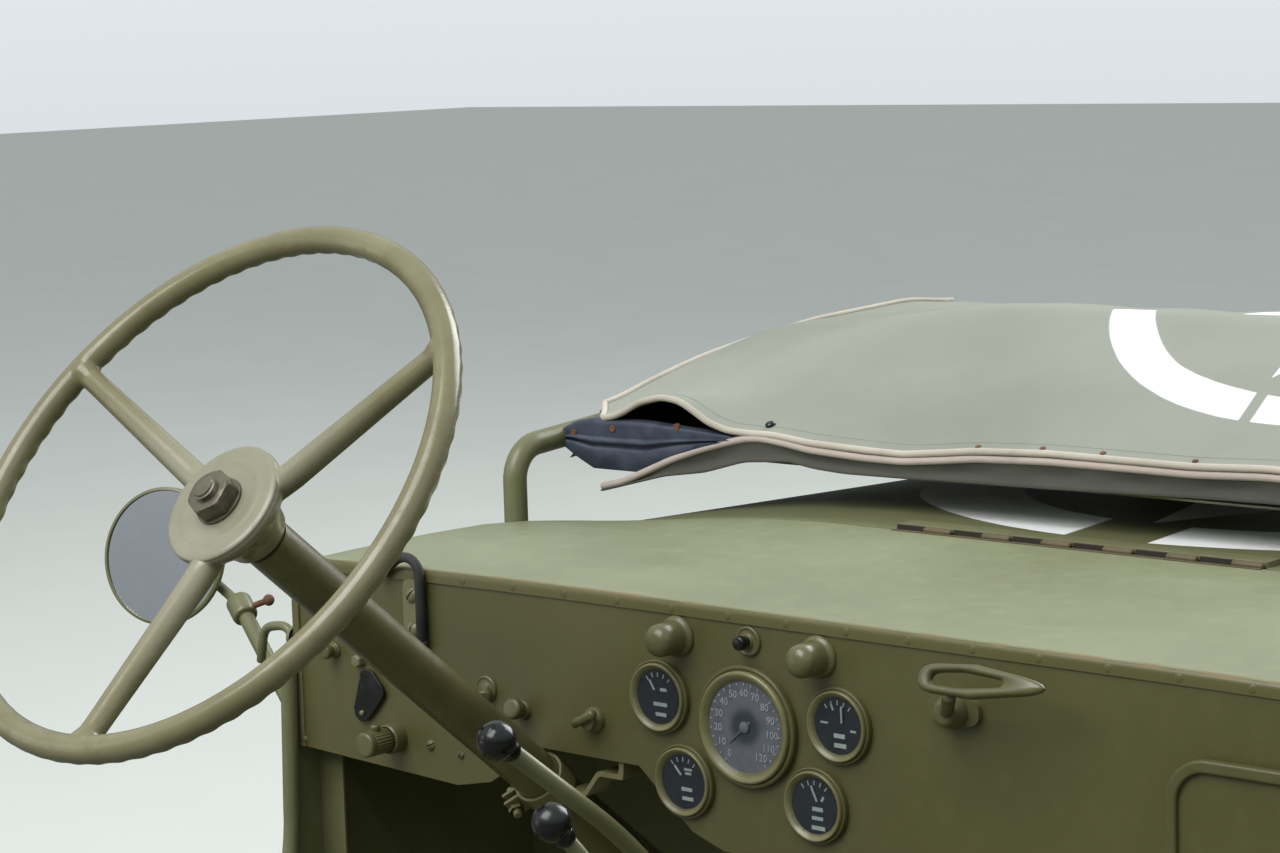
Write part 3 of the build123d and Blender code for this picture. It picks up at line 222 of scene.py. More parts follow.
@dataclass(frozen=True)
class PhotoView:
    """Camera at the photograph's place, with a long lens close to the driver's door."""

    place: Point = (1.3272, -1.7092, 1.0213)
    yaw: float = 41.68
    pitch: float = -7.51
    roll: float = -1.69
    lens: float = 86.16

    def build(self) -> bpy.types.Object:
        """Makes the scene's camera."""
        yaw, pitch, roll = (math.radians(v) for v in (self.yaw, self.pitch, self.roll))
        ahead = Vector((-math.sin(yaw) * math.cos(pitch), math.cos(yaw) * math.cos(pitch),
                        math.sin(pitch)))
        level = Vector((math.cos(yaw), math.sin(yaw), 0.0))
        rise = level.cross(ahead)
        right = math.cos(roll) * level + math.sin(roll) * rise
        top = math.cos(roll) * rise - math.sin(roll) * level
        data = bpy.data.cameras.new("photo_view")
        data.lens, data.sensor_width = self.lens, 36.0
        data.clip_start, data.clip_end = 0.05, 100.0
        camera = bpy.data.objects.new("photo_view", data)
        bpy.context.scene.collection.objects.link(camera)
        turn = Matrix((right, top, -ahead)).transposed().to_4x4()
        camera.matrix_world = Matrix.Translation(self.place) @ turn
        bpy.context.scene.camera = camera
        return camera


@dataclass(frozen=True)
class Studio:
    """Plain pale floor and soft light from above and behind."""

    floor_drop: float = -0.12
    floor_half: float = 30.0
    aim: Point = (-0.1, 0.2, 0.5)
    lamps: tuple[tuple[str, Point, float, float], ...] = (
        ("key", (-0.6, -3.4, 4.6), 4.0, 285.0), ("fill", (-2.6, -2.2, 0.9), 1.8, 9.0),
        ("back", (0.3, 4.6, 3.6), 3.4, 215.0))
    sky: tuple[float, float, float, float] = (-0.10, 0.55, 0.05, 0.76)
    sky_seen: float = 0.66

    def build(self) -> None:
        """Adds floor, world and lamps."""
        self._floor()
        self._world()
        for name, place, size, power in self.lamps:
            self._lamp(name, place, size, power)
        bpy.context.scene.view_settings.view_transform = "Standard"

    def _floor(self) -> None:
        """Pale floor under everything."""
        mesh = bpy.data.meshes.new("floor")
        half = self.floor_half
        mesh.from_pydata([(x, y, self.floor_drop) for x, y in (
            (-half, -half), (half, -half), (half, half), (-half, half))], [], [(0, 1, 2, 3)])
        paint = Paint("floor_white")
        mottle = paint.noise(3.0, 2.0)
        pale = paint.mix(mottle, (0.52, 0.54, 0.50), (0.56, 0.58, 0.54))
        seen = paint.node("ShaderNodeLightPath", output="Is Camera Ray")
        tone = paint.mix(seen, (0.10, 0.11, 0.09), pale)
        mesh.materials.append(paint.surface({"Base Color": tone, "Roughness": 0.9}))
        floor = bpy.data.objects.new("floor", mesh)
        bpy.context.scene.collection.objects.link(floor)

    def _world(self) -> None:
        """Sky that brightens with height, and shows paler to the camera than it lights."""
        world = bpy.data.worlds.new("pale")
        world.use_nodes = True
        tree = world.node_tree
        background = tree.nodes["Background"]
        place = tree.nodes.new("ShaderNodeTexCoord")
        split = tree.nodes.new("ShaderNodeSeparateXYZ")
        rise = tree.nodes.new("ShaderNodeMapRange")
        for socket, value in zip(rise.inputs[1:5], self.sky):
            socket.default_value = value
        tree.links.new(place.outputs["Generated"], split.inputs[0])
        tree.links.new(split.outputs["Z"], rise.inputs[0])
        ray = tree.nodes.new("ShaderNodeLightPath")
        seen = tree.nodes.new("ShaderNodeMath")
        seen.operation = "MULTIPLY_ADD"
        seen.inputs[1].default_value = self.sky_seen
        tree.links.new(ray.outputs["Is Camera Ray"], seen.inputs[0])
        tree.links.new(rise.outputs[0], seen.inputs[2])
        tree.links.new(seen.outputs[0], background.inputs["Strength"])
        background.inputs["Color"].default_value = (0.90, 0.96, 1.0, 1.0)
        bpy.context.scene.world = world

    def _lamp(self, name: str, place: Point, size: float, power: float) -> None:
        """One square soft lamp aimed at the dashboard."""
        data = bpy.data.lights.new(name, "AREA")
        data.shape, data.size, data.energy = "SQUARE", size, power
        lamp = bpy.data.objects.new(name, data)
        lamp.location = place
        aim = Vector(self.aim) - Vector(place)
        lamp.rotation_mode = "QUATERNION"
        lamp.rotation_quaternion = aim.to_track_quat("-Z", "Y")
        bpy.context.scene.collection.objects.link(lamp)


@dataclass(frozen=True)
class OlivePaint:
    """Satin olive enamel: cloudy fading, dust, fine orange peel and small chips."""

    name: str
    tone: Colour
    faded: Colour
    roughness: float = 0.42
    chips: float = 0.5
    # Darker tone for the face towards the driver at the hem: painted shade.
    front: Colour | None = None

    def build(self) -> bpy.types.Material:
        """Makes the material; a darker front tone, painted shade, lies on what faces the driver at
        the hem.
        """
        paint = Paint(self.name)
        cloud = paint.noise(3.2, 4.0).ramp(0.3, 0.75)
        fine = paint.noise(55.0, 4.0, 0.6)
        tone = paint.mix(cloud, self.tone, self.faded)
        tone = paint.mix(fine.ramp(0.45, 0.8) * 0.25, tone, tuple(1.25 * c for c in self.faded))
        chip = paint.noise(210.0, 3.0, 0.7).ramp(0.74 - 0.04 * self.chips, 0.80)
        # Painted shade: the hem's upright face towards the driver takes the darker front tone, and
        # the top keeps its own.
        if self.front is not None:
            y = paint.axes()[1]
            tone = paint.mix(y.ramp(0.0012, 0.0000), tone, self.front)
            rubbed = paint.noise(35.0, 4.0).ramp(0.42, 0.62)
            edge = y.ramp(-0.0012, 0.0002) * y.ramp(0.0030, 0.0014) * rubbed
            tone = paint.mix(edge * 0.6, tone, srgb(128, 104, 72))
        tone = paint.mix(chip * (0.6 * self.chips), tone, srgb(66, 60, 48))
        rough = self.roughness + 0.12 * (fine - 0.5) + 0.10 * (cloud - 0.5) + chip * 0.2
        peel = paint.noise(900.0, 2.0)
        dent = paint.noise(7.0, 2.0)
        normal = paint.bump(peel * 0.00006 + dent * 0.0012 - chip * 0.00008, 0.6)
        return paint.surface({"Base Color": tone, "Roughness": rough, "Normal": normal})


@dataclass(frozen=True)
class PlainFinish:
    """Simple even finish with slight mottling, for rubber, steel and plastic."""

    name: str
    tone: Colour
    mottled: Colour
    roughness: float
    metallic: float = 0.0
    grain: float = 400.0
    grain_height: float = 0.00005

    def build(self) -> bpy.types.Material:
        """Makes the material."""
        paint = Paint(self.name)
        mottle = paint.noise(40.0, 4.0, 0.6).ramp(0.35, 0.7)
        tone = paint.mix(mottle, self.tone, self.mottled)
        rough = self.roughness + 0.15 * (mottle - 0.5)
        normal = paint.bump(paint.noise(self.grain, 2.0) * self.grain_height, 0.7)
        return paint.surface({"Base Color": tone, "Roughness": rough,
                              "Metallic": self.metallic, "Normal": normal})


@dataclass(frozen=True)
class MarkedPaint:
    """Bonnet enamel with the white ring and the five-pointed star, laid out in plan."""

    name: str
    tone: Colour
    faded: Colour
    middle: tuple[float, float]
    outer: float
    inner: float
    gap: tuple[float, float, float] | None = None
    star_middle: tuple[float, float] = (0.0, 0.0)
    star_tip: float = 0.0
    turn: float = 0.0
    roughness: float = 0.38
    weave: float = 0.0

    def build(self) -> bpy.types.Material:
        """Makes the material: distances from the ring's middle choose where white paint lies."""
        paint = Paint(self.name)
        x, y, _ = paint.axes()
        cloud = paint.noise(3.0, 4.0).ramp(0.3, 0.75)
        fine = paint.noise(60.0, 4.0, 0.6)
        tone = paint.mix(cloud, self.tone, self.faded)
        tone = paint.mix(fine.ramp(0.45, 0.8) * 0.3, tone, tuple(1.2 * c for c in self.faded))
        white = self._ring(paint, x, y)
        if self.star_tip:
            white = white.of("MAXIMUM", self._star(x, y))
        worn = paint.noise(95.0, 5.0, 0.7).ramp(0.70, 0.78)
        white = white * (1.0 - 0.45 * worn)
        ivory = paint.mix(cloud, (0.92, 0.93, 0.92), (0.86, 0.87, 0.86))
        tone = paint.mix(white, tone, ivory)
        height = white * 0.00012 + paint.noise(7.0, 2.0) * 0.0012
        if self.weave:
            height = height + weave_height(paint, self.weave)
        rough = self.roughness + 0.12 * (fine - 0.5) + white * 0.12
        normal = paint.bump(height, 0.7)
        return paint.surface({"Base Color": tone, "Roughness": rough, "Normal": normal})

    def _ring(self, paint: Paint, x: Wire, y: Wire) -> Wire:
        """Mask of the ring between two radii, less its gap towards the driver."""
        dx, dy = x - self.middle[0], y - self.middle[1]
        edge = 0.0012
        wobble = 0.002 * (paint.noise(25.0, 2.0) - 0.5)
        reach = (dx * dx + dy * dy) ** 0.5 + wobble
        ring = reach.ramp(self.inner - edge, self.inner + edge) \
            * reach.ramp(self.outer + edge, self.outer - edge)
        if self.gap:
            across = abs(dx - self.gap[0] + dy * self.gap[2])
            opening = across.ramp(self.gap[1] - edge, self.gap[1] + edge)
            ring = ring * (dy > 0).of("MAXIMUM", opening)
        return ring

    def _star(self, x: Wire, y: Wire) -> Wire:
        """Mask of the star: in each fifth of the circle, the side of one straight edge."""
        dx, dy = x - self.star_middle[0], y - self.star_middle[1]
        angle = dy.of("ARCTAN2", dx) - (self.turn - 2 * math.pi)
        fifth = 2 * math.pi / 5
        folded = abs(angle.of("MODULO", fifth).of("SUBTRACT", fifth / 2))
        reach = (dx * dx + dy * dy) ** 0.5
        along = reach * folded.of("COSINE")
        aside = reach * folded.of("SINE")
        dip = self.star_tip * 0.382
        tip_x, tip_y = self.star_tip * math.cos(fifth / 2), self.star_tip * math.sin(fifth / 2)
        slope = tip_y / (tip_x - dip)
        inside = (along - dip) * slope - aside
        return inside.ramp(0.001, -0.001)


def weave_height(paint: Paint, pitch: float) -> Wire:
    """Height of a plain weave: the product of two sine waves, threads a pitch apart."""
    x, y, z = paint.axes()
    turn = 2 * math.pi / pitch
    warp, weft = (x * turn).of("SINE"), ((y + z) * turn).of("SINE")
    return warp * weft * 0.00012


@dataclass(frozen=True)
class Canvas:
    """Faded cotton duck: plain weave, cloudy fading and dust in the folds."""

    name: str
    tone: Colour
    shade: Colour
    pitch: float = 0.0016

    def build(self) -> bpy.types.Material:
        """Makes the material."""
        paint = Paint(self.name)
        cloud = paint.noise(6.0, 5.0, 0.6).ramp(0.3, 0.7)
        blot = paint.noise(28.0, 4.0, 0.6).ramp(0.5, 0.8)
        tone = paint.mix(cloud, self.tone, self.shade)
        tone = paint.mix(blot * 0.3, tone, tuple(0.75 * c for c in self.shade))
        height = weave_height(paint, self.pitch) + paint.noise(120.0, 3.0) * 0.0006
        normal = paint.bump(height, 0.7)
        return paint.surface({"Base Color": tone, "Roughness": 0.86 - 0.06 * cloud,
                              "Normal": normal, "Sheen Weight": 0.25})


@dataclass(frozen=True)
class HandledPaint:
    """Enamel polished by hands: bright rubbed patches, darker grime and bare metal at edges; an
    optional pale tone is a painted highlight near a point, on faces that stand up the column.
    """

    name: str
    tone: Colour
    rubbed: Colour
    grime: Colour
    roughness: float = 0.30
    # Tone of the painted highlight near a point, with its place, reach and rise up the column.
    pale: Colour | None = None
    pale_at: Point = (0.0, 0.0, 0.0)
    pale_reach: tuple[float, float] = (0.170, 0.045)
    pale_rise: tuple[float, float] = (-0.016, -0.004)

    def build(self) -> bpy.types.Material:
        """Makes the material."""
        paint = Paint(self.name)
        patch = paint.noise(14.0, 4.0, 0.6).ramp(0.38, 0.68)
        streak = paint.noise(60.0, 4.0, 0.65).ramp(0.52, 0.72)
        tone = paint.mix(patch, self.tone, self.rubbed)
        tone = paint.mix(streak * 0.35, tone, self.grime)
        # Painted highlight: near the hub, the faces that stand up the column towards the driver
        # turn pale, and the lower sides keep the enamel's tone.
        if self.pale is not None:
            away = paint.node("ShaderNodeVectorMath", {0: paint.place, 1: self.pale_at},
                              output="Value", operation="DISTANCE")
            a = math.radians(COLUMN_LEAN)
            way = (0.0, -math.cos(a), math.sin(a))
            rise = paint.node("ShaderNodeVectorMath", {0: paint.place, 1: way}, output="Value",
                              operation="DOT_PRODUCT")
            level = float(np.dot(self.pale_at, way))
            near = away.ramp(*self.pale_reach) * (rise - level).ramp(*self.pale_rise)
            tone = paint.mix(near * 0.85, tone, self.pale)
        chip = paint.noise(160.0, 3.0, 0.7).ramp(0.72, 0.78)
        tone = paint.mix(chip * 0.7, tone, srgb(140, 132, 116))
        rough = self.roughness + 0.18 * streak - 0.06 * patch
        normal = paint.bump(paint.noise(35.0, 3.0) * 0.0006 - chip * 0.00012, 0.6)
        return paint.surface({"Base Color": tone, "Roughness": rough, "Normal": normal,
                              "Coat Weight": 0.25 * patch, "Coat Roughness": 0.2})


@dataclass(frozen=True)
class ClearGlass:
    """Thin clear glass: nearly see-through face on, more of a mirror at a slant."""

    name: str
    tone: Colour

    def build(self) -> bpy.types.Material:
        """Makes the material."""
        paint = Paint(self.name)
        slant = paint.node("ShaderNodeLayerWeight", {"Blend": 0.35}, output="Facing")
        smear = paint.noise(30.0, 3.0).ramp(0.4, 0.8)
        return paint.surface({"Base Color": self.tone, "Roughness": 0.03 + 0.05 * smear,
                              "Alpha": 0.06 + 0.22 * slant, "Specular IOR Level": 0.6})


@dataclass(frozen=True)
class DialFace:
    """Printed face of the large dial: dark in the middle, paler where the numerals stand."""

    name: str
    middle: Colour
    outside: Colour
    centre: tuple[float, float]

    def build(self) -> bpy.types.Material:
        """Makes the material."""
        paint = Paint(self.name)
        x, _, z = paint.axes()
        dx, dz = x - self.centre[0], z - self.centre[1]
        reach = (dx * dx + dz * dz) ** 0.5
        tone = paint.mix(reach.ramp(0.009, 0.018), self.middle, self.outside)
        tone = paint.mix(paint.noise(90.0, 3.0).ramp(0.4, 0.7) * 0.3, tone, self.middle)
        return paint.surface({"Base Color": tone, "Roughness": 0.5})


class Finishes:
    """Every finish on the body section, made once."""

    def __init__(self) -> None:
        """Builds all the materials."""
        self.olive = OlivePaint("olive_enamel", srgb(98, 99, 66), srgb(116, 117, 84), 0.36).build()
        # The cowl's tones are paler than the body's olive: painted light, the sky's sheen on the
        # grazed top. Its front tone is painted shade on the hem's face.
        self.cowl = OlivePaint("cowl_enamel_painted_light", srgb(120, 124, 92), srgb(134, 139, 108), 0.36, 0.5,
                               srgb(90, 87, 50)).build()
        self.dash = OlivePaint("dash_enamel", srgb(78, 76, 42), srgb(88, 86, 50), 0.46, 0.8).build()
        self.bonnet = MarkedPaint("bonnet_enamel", srgb(96, 98, 64), srgb(110, 112, 78),
                                  (-0.008, 0.692), 0.352, 0.258, (-0.055, 0.039, 0.168),
                                  (-0.008, 0.692), 0.2546, math.radians(-92.7), 0.48).build()
        self.canvas = Canvas("canvas", srgb(146, 149, 138), srgb(130, 132, 119)).build()
        self.marked_canvas = MarkedPaint("marked_canvas", srgb(146, 149, 138), srgb(130, 133, 120),
                                         (0.0997, 0.6951), 0.274, 0.235,
                                         (-0.069, 0.0055, 0.163), (0.0997, 0.6951), 0.211,
                                         math.radians(-100.0), 0.85, 0.0016).build()
        self.piping = Canvas("piping", srgb(196, 188, 172), srgb(170, 162, 146), 0.0011).build()
        # Its pale tone near the hub is a painted highlight on the spokes' upper halves.
        self.wheel = HandledPaint("wheel_enamel", srgb(114, 109, 78), srgb(126, 121, 90),
                                  srgb(98, 92, 64), 0.26, srgb(144, 141, 118),
                                  (-0.304, -0.3223, 0.6979)).build()
        # The hub's enamel is a paler copy of the wheel's: a painted highlight on the face that
        # turns up to the light.
        self.hub = HandledPaint("hub_enamel_painted_highlight", srgb(134, 132, 111), srgb(144, 142, 122),
                                srgb(120, 117, 96), 0.32).build()
        self.column = HandledPaint("column_enamel", srgb(88, 84, 52), srgb(98, 94, 60),
                                   srgb(76, 72, 44), 0.30).build()
        self.rubber = PlainFinish("black_rubber", srgb(46, 53, 66), srgb(64, 72, 86), 0.46).build()
        self.boot = PlainFinish("boot_rubber", srgb(38, 38, 38), srgb(54, 52, 48), 0.75).build()
        self.gloss = PlainFinish("knob_gloss", srgb(12, 12, 13), srgb(20, 20, 20), 0.20,
                                 grain_height=0.00001).build()
        self.dial = PlainFinish("dial_black", srgb(26, 32, 40), srgb(32, 38, 46), 0.5).build()
        self.steel = PlainFinish("worn_steel", srgb(120, 112, 98), srgb(88, 78, 64), 0.38, 0.8,
                                 900.0).build()
        self.nut = PlainFinish("painted_nut", srgb(104, 100, 82), srgb(76, 70, 54), 0.34, 0.3,
                               500.0).build()
        self.rust = PlainFinish("rusty_brown", srgb(112, 74, 48), srgb(84, 58, 40), 0.8).build()
        self.wood = PlainFinish("painted_wood", srgb(96, 88, 62), srgb(80, 72, 50), 0.75, 0.0,
                                150.0, 0.0002).build()
        self.casting = OlivePaint("casting_enamel", srgb(72, 72, 50), srgb(88, 88, 64), 0.55,
                                  1.0).build()
        self.figures = PlainFinish("dial_white", srgb(176, 188, 180), srgb(160, 176, 170),
                                   0.6).build()
        self.faint = PlainFinish("dial_grey", srgb(112, 122, 128), srgb(90, 98, 104), 0.6).build()
        self.mirror = PlainFinish("silvered_glass", (0.80, 0.83, 0.85), (0.76, 0.79, 0.82), 0.04,
                                  1.0, grain_height=0.0).build()
        self.glass = ClearGlass("clear_glass", (0.8, 0.86, 0.84)).build()
        self.lamp = HandledPaint("lamp_enamel", srgb(86, 84, 52), srgb(98, 96, 62),
                                 srgb(74, 70, 42), 0.32).build()
        self.dial_glass = ClearGlass("dial_glass", (0.03, 0.035, 0.04)).build()
        self.roll = HandledPaint("ring_enamel", srgb(104, 100, 64), srgb(122, 117, 80),
                                 srgb(88, 82, 50), 0.34).build()
        # Near-black finish for the hinge's gaps: painted shadow.
        self.slot = PlainFinish("hinge_gap_shadow", srgb(36, 29, 22), srgb(50, 40, 30), 0.7).build()
        self.knuckle = PlainFinish("hinge_brown", srgb(84, 76, 48), srgb(98, 82, 56), 0.6).build()
        self.seam_cloth = Canvas("seam_cloth", srgb(188, 174, 164), srgb(170, 156, 146),
                                 0.0011).build()
        # The front band's cloth is far darker than the canvas: painted shade under the hem.
        self.band_cloth = Canvas("band_cloth", srgb(72, 73, 63), srgb(60, 61, 52)).build()
        self.speedo = DialFace("speedo_face", srgb(54, 60, 68), srgb(110, 114, 120),
                               (-0.095, 0.502)).build()
        self.lilac = PlainFinish("dial_lilac", srgb(184, 184, 196), srgb(166, 168, 182),
                                 0.6).build()


def rounded(points: Sequence[Sequence[float]], radius: float, steps: int = 5) -> np.ndarray:
    """Rounds the corners of a line of points.

    Each inner corner gives way to a quadratic curve that leaves the line at the radius before the
    corner and joins it at the radius after, or halfway along a short side.

    Args:
        points: corners in order, in two or three dimensions.
        radius: distance from a corner at which its curve starts.
        steps: spans in each curve.

    Returns:
        The new points, one a row.
    """
    corners = np.asarray(points, float)
    sides = np.diff(corners, axis=0)
    lengths = np.linalg.norm(sides, axis=1, keepdims=True)
    lengths = np.maximum(lengths, 1e-9)
    ahead = sides / lengths * np.minimum(radius, lengths / 2)
    start = corners[1:-1] - ahead[:-1]
    end = corners[1:-1] + ahead[1:]
    t = np.linspace(0.0, 1.0, steps + 1)[None, :, None]
    curves = ((1 - t) ** 2 * start[:, None] + 2 * t * (1 - t) * corners[1:-1, None]
              + t ** 2 * end[:, None])
    return np.vstack([corners[:1], curves.reshape(-1, corners.shape[1]), corners[-1:]])


class Shape:
    """Surfaces gathered into one mesh, in millimetres."""

    def __init__(self) -> None:
        """Starts with nothing."""
        self.points: list[np.ndarray] = []
        self.faces: list[list[int]] = []
        self.size = 0

    def grid(self, points: np.ndarray, around: bool = False) -> "Shape":
        """Adds a grid of points.

        Args:
            points: rows and columns of places.
            around: whether the last column joins the first.

        Returns:
            This shape.
        """
        rows, columns = points.shape[:2]
        index = np.arange(rows * columns).reshape(rows, columns) + self.size
        if around:
            index = np.hstack([index, index[:, :1]])
        quads = np.stack([index[:-1, :-1], index[:-1, 1:], index[1:, 1:], index[1:, :-1]], -1)
        self.points.append(points.reshape(-1, 3))
        self.faces += quads.reshape(-1, 4).tolist()
        self.size += rows * columns
        return self

    def turned(self, profile: Sequence[Sequence[float]] | np.ndarray, origin: Point,
               direction: Point, sides: int = 48) -> "Shape":
        """Adds a turned surface: the place is the origin plus the radius round the direction.

        Args:
            profile: radius and height pairs.
            origin: where height starts.
            direction: which way height goes.
            sides: how many faces round.

        Returns:
            This shape.
        """
        profile = np.asarray(profile, float)
        up, side, other = axes_along(direction)
        angle = np.linspace(0, 2 * np.pi, sides, endpoint=False)
        ring = np.cos(angle)[:, None] * side + np.sin(angle)[:, None] * other
        points = (np.asarray(origin, float) + profile[:, 0, None, None] * ring[None]
                  + profile[:, 1, None, None] * up)
        return self.grid(points, around=True)

    def tube(self, path: Sequence[Sequence[float]] | np.ndarray, radius: float | np.ndarray,
             sides: int = 16) -> "Shape":
        """Adds a round bar with rounded ends along a path.

        Each ring of points is the radius times the cosine and sine of its angle, along two
        directions square to the path.

        Args:
            path: places in order.
            radius: one radius, or one for each place.
            sides: how many faces round.

        Returns:
            This shape.
        """
        path = np.asarray(path, float)
        radii = np.broadcast_to(radius, (len(path),)).astype(float)
        tangent = np.gradient(path, axis=0)
        tangent /= np.linalg.norm(tangent, axis=1, keepdims=True)
        reference = np.eye(3)[np.argmin(np.abs(tangent).max(axis=0))]
        side = np.cross(tangent, reference)
        side /= np.linalg.norm(side, axis=1, keepdims=True)
        other = np.cross(tangent, side)
        ends = np.array([0.0, 0.75, 1.0])
        first = path[0] + tangent[0] * radii[0] * np.array([0.0, 0.08, 0.35])[:, None]
        last = path[-1] - tangent[-1] * radii[-1] * np.array([0.35, 0.08, 0.0])[:, None]
        places = np.vstack([first, path[1:-1], last])
        size = np.concatenate([ends * radii[0], radii[1:-1], ends[::-1] * radii[-1]])
        side = np.vstack([side[:1]] * 3 + [side[1:-1]] + [side[-1:]] * 3)
        other = np.vstack([other[:1]] * 3 + [other[1:-1]] + [other[-1:]] * 3)
        angle = np.linspace(0, 2 * np.pi, sides, endpoint=False)
        ring = (np.cos(angle)[None, :, None] * side[:, None]
                + np.sin(angle)[None, :, None] * other[:, None])
        return self.grid(places[:, None] + size[:, None, None] * ring, around=True)

    def plate(self, outline: Sequence[Sequence[float]] | np.ndarray, origin: Point,
              across: Point, up: Point, low: float, high: float) -> "Shape":
        """Adds a flat plate: an outline given along two directions, thick along the third.

        Args:
            outline: pairs of distances along across and up.
            origin: where both distances are nought.
            across: the first direction.
            up: the second direction.
            low: where the plate starts along their cross product.
            high: where it ends.

        Returns:
            This shape.
        """
        outline = np.asarray(outline, float)
        across, up = (np.asarray(v, float) / np.linalg.norm(v) for v in (across, up))
        face = np.asarray(origin, float) + outline[:, :1] * across + outline[:, 1:] * up
        thick = np.cross(across, up)
        rim = np.stack([face + low * thick, face + high * thick])
        start, count = self.size, len(outline)
        self.grid(rim, around=True)
        self.faces.append([start + i for i in range(count)][::-1])
        self.faces.append([start + count + i for i in range(count)])
        return self

    def build(self, name: str, material: bpy.types.Material, body: str = "scuttle",
              smooth: float = 40.0, bevel: float = 0.0, wall: float = 0.0,
              replaces: Sequence[str] = (), closed: bool = True) -> bpy.types.Object:
        """Makes the mesh into a finished piece.

        Args:
            name: the piece's name.
            material: its finish.
            body: the body that it rides on.
            smooth: angle under which edges are shaded smooth, in degrees.
            bevel: width of the bevel on sharp edges, in millimetres.
            wall: thickness that is added on the inner side, in millimetres.
            replaces: CAD nodes that the piece stands for.
            closed: whether the surface is closed, so that its faces can be turned outwards.

        Returns:
            The new object.
        """
        mesh = bpy.data.meshes.new(name)
        mesh.from_pydata((np.vstack(self.points) * MM).tolist(), [], self.faces)
        merged(mesh, closed)
        piece = placed(name, mesh, material)
        if wall:
            solid = piece.modifiers.new("wall", "SOLIDIFY")
            solid.thickness, solid.offset = wall * MM, -1.0
        return finished(piece, body, smooth, bevel, replaces)


def signed_power(value: np.ndarray, power: float) -> np.ndarray:
    """Size raised to a power with its sign kept, which squares off or thins a round wave."""
    return np.sign(value) * np.abs(value) ** power


def oblong(half_wide: float, half_high: float, power: float, sides: int) -> np.ndarray:
    """Outline between an ellipse and a rectangle: a low power squares off its corners.

    Args:
        half_wide: half its width.
        half_high: half its height.
        power: power of the cosine and sine.
        sides: how many points it has.

    Returns:
        Pairs of distances from its middle.
    """
    t = np.linspace(0, 2 * np.pi, sides + 1)[:-1]
    return np.stack([half_wide * signed_power(np.cos(t), power),
                     half_high * signed_power(np.sin(t), power)], -1)


def smoothed(x: np.ndarray, places: np.ndarray, values: np.ndarray, width: float) -> np.ndarray:
    """Value on a line of straight runs, averaged with a bell-shaped weight.

    Args:
        x: where the value is wanted.
        places: places of the line's points.
        values: values at those points.
        width: half width of the bell.

    Returns:
        One value for each place.
    """
    spread = np.linspace(-1.5, 1.5, 7)
    weight = np.exp(-spread ** 2)
    return sum(w * np.interp(x + s * width, places, values)
               for s, w in zip(spread, weight)) / weight.sum()


def axes_along(direction: Sequence[float]) -> tuple[np.ndarray, np.ndarray, np.ndarray]:
    """Unit direction and two more square to it."""
    up = np.asarray(direction, float) / np.linalg.norm(direction)
    side = np.cross(up, np.eye(3)[np.argmin(np.abs(up))])
    side /= np.linalg.norm(side)
    return up, side, np.cross(up, side)


def merged(mesh: bpy.types.Mesh, closed: bool, flat: float = 0.0) -> None:
    """Merges doubles, and turns the faces of a closed surface outwards.

    Args:
        mesh: the mesh to change.
        closed: whether its faces are turned outwards.
        flat: angle under which neighbouring faces become one, in degrees.
    """
    work = bmesh.new()
    work.from_mesh(mesh)
    bmesh.ops.remove_doubles(work, verts=work.verts, dist=5e-6)
    bmesh.ops.dissolve_degenerate(work, edges=work.edges, dist=2e-6)
    if flat:
        bmesh.ops.dissolve_limit(work, angle_limit=math.radians(flat), verts=work.verts,
                                 edges=work.edges, delimit={"NORMAL"})
    if closed:
        bmesh.ops.recalc_face_normals(work, faces=work.faces)
    work.to_mesh(mesh)
    work.free()


def placed(name: str, mesh: bpy.types.Mesh, material: bpy.types.Material) -> bpy.types.Object:
    """Puts a mesh into the scene with one material."""
    mesh.materials.clear()
    mesh.materials.append(material)
    piece = bpy.data.objects.new(name, mesh)
    bpy.context.scene.collection.objects.link(piece)
    return piece


def finished(piece: bpy.types.Object, body: str, smooth: float, bevel: float,
             replaces: Sequence[str]) -> bpy.types.Object:
    """Shades a piece, bevels its sharp edges and lets it ride on its body.

    Args:
        piece: the object.
        body: the body that carries it.
        smooth: angle under which edges are shaded smooth, in degrees.
        bevel: width of the bevel, in millimetres.
        replaces: CAD nodes that the piece stands for.

    Returns:
        The same object.
    """
    piece.data.shade_smooth()
    piece.data.set_sharp_from_angle(angle=math.radians(smooth))
    if bevel:
        edge = piece.modifiers.new("bevel", "BEVEL")
        edge.width, edge.segments = bevel * MM, 2
        edge.limit_method, edge.angle_limit = "ANGLE", math.radians(smooth)
        edge.harden_normals = True
    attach(piece, body)
    if replaces:
        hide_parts(*replaces)
    log.info("piece %s rides on %s", piece.name, body)
    return piece


def softened(node: bpy.types.Object, body: str, material: bpy.types.Material,
             bevel: float = 0.8, smooth: float = 32.0) -> bpy.types.Object:
    """Copy of a CAD node with its doubles merged and its edges bevelled, in the node's place.

    Args:
        node: the CAD node.
        body: the body that carries it.
        material: its finish.
        bevel: width of the bevel, in millimetres.
        smooth: angle over which an edge counts as sharp, in degrees.

    Returns:
        The new object.
    """
    mesh = node.data.copy()
    merged(mesh, False, 0.4)
    name = f"{node.name}_dressed"
    return finished(placed(name, mesh, material), body, smooth, bevel, (node.name,))


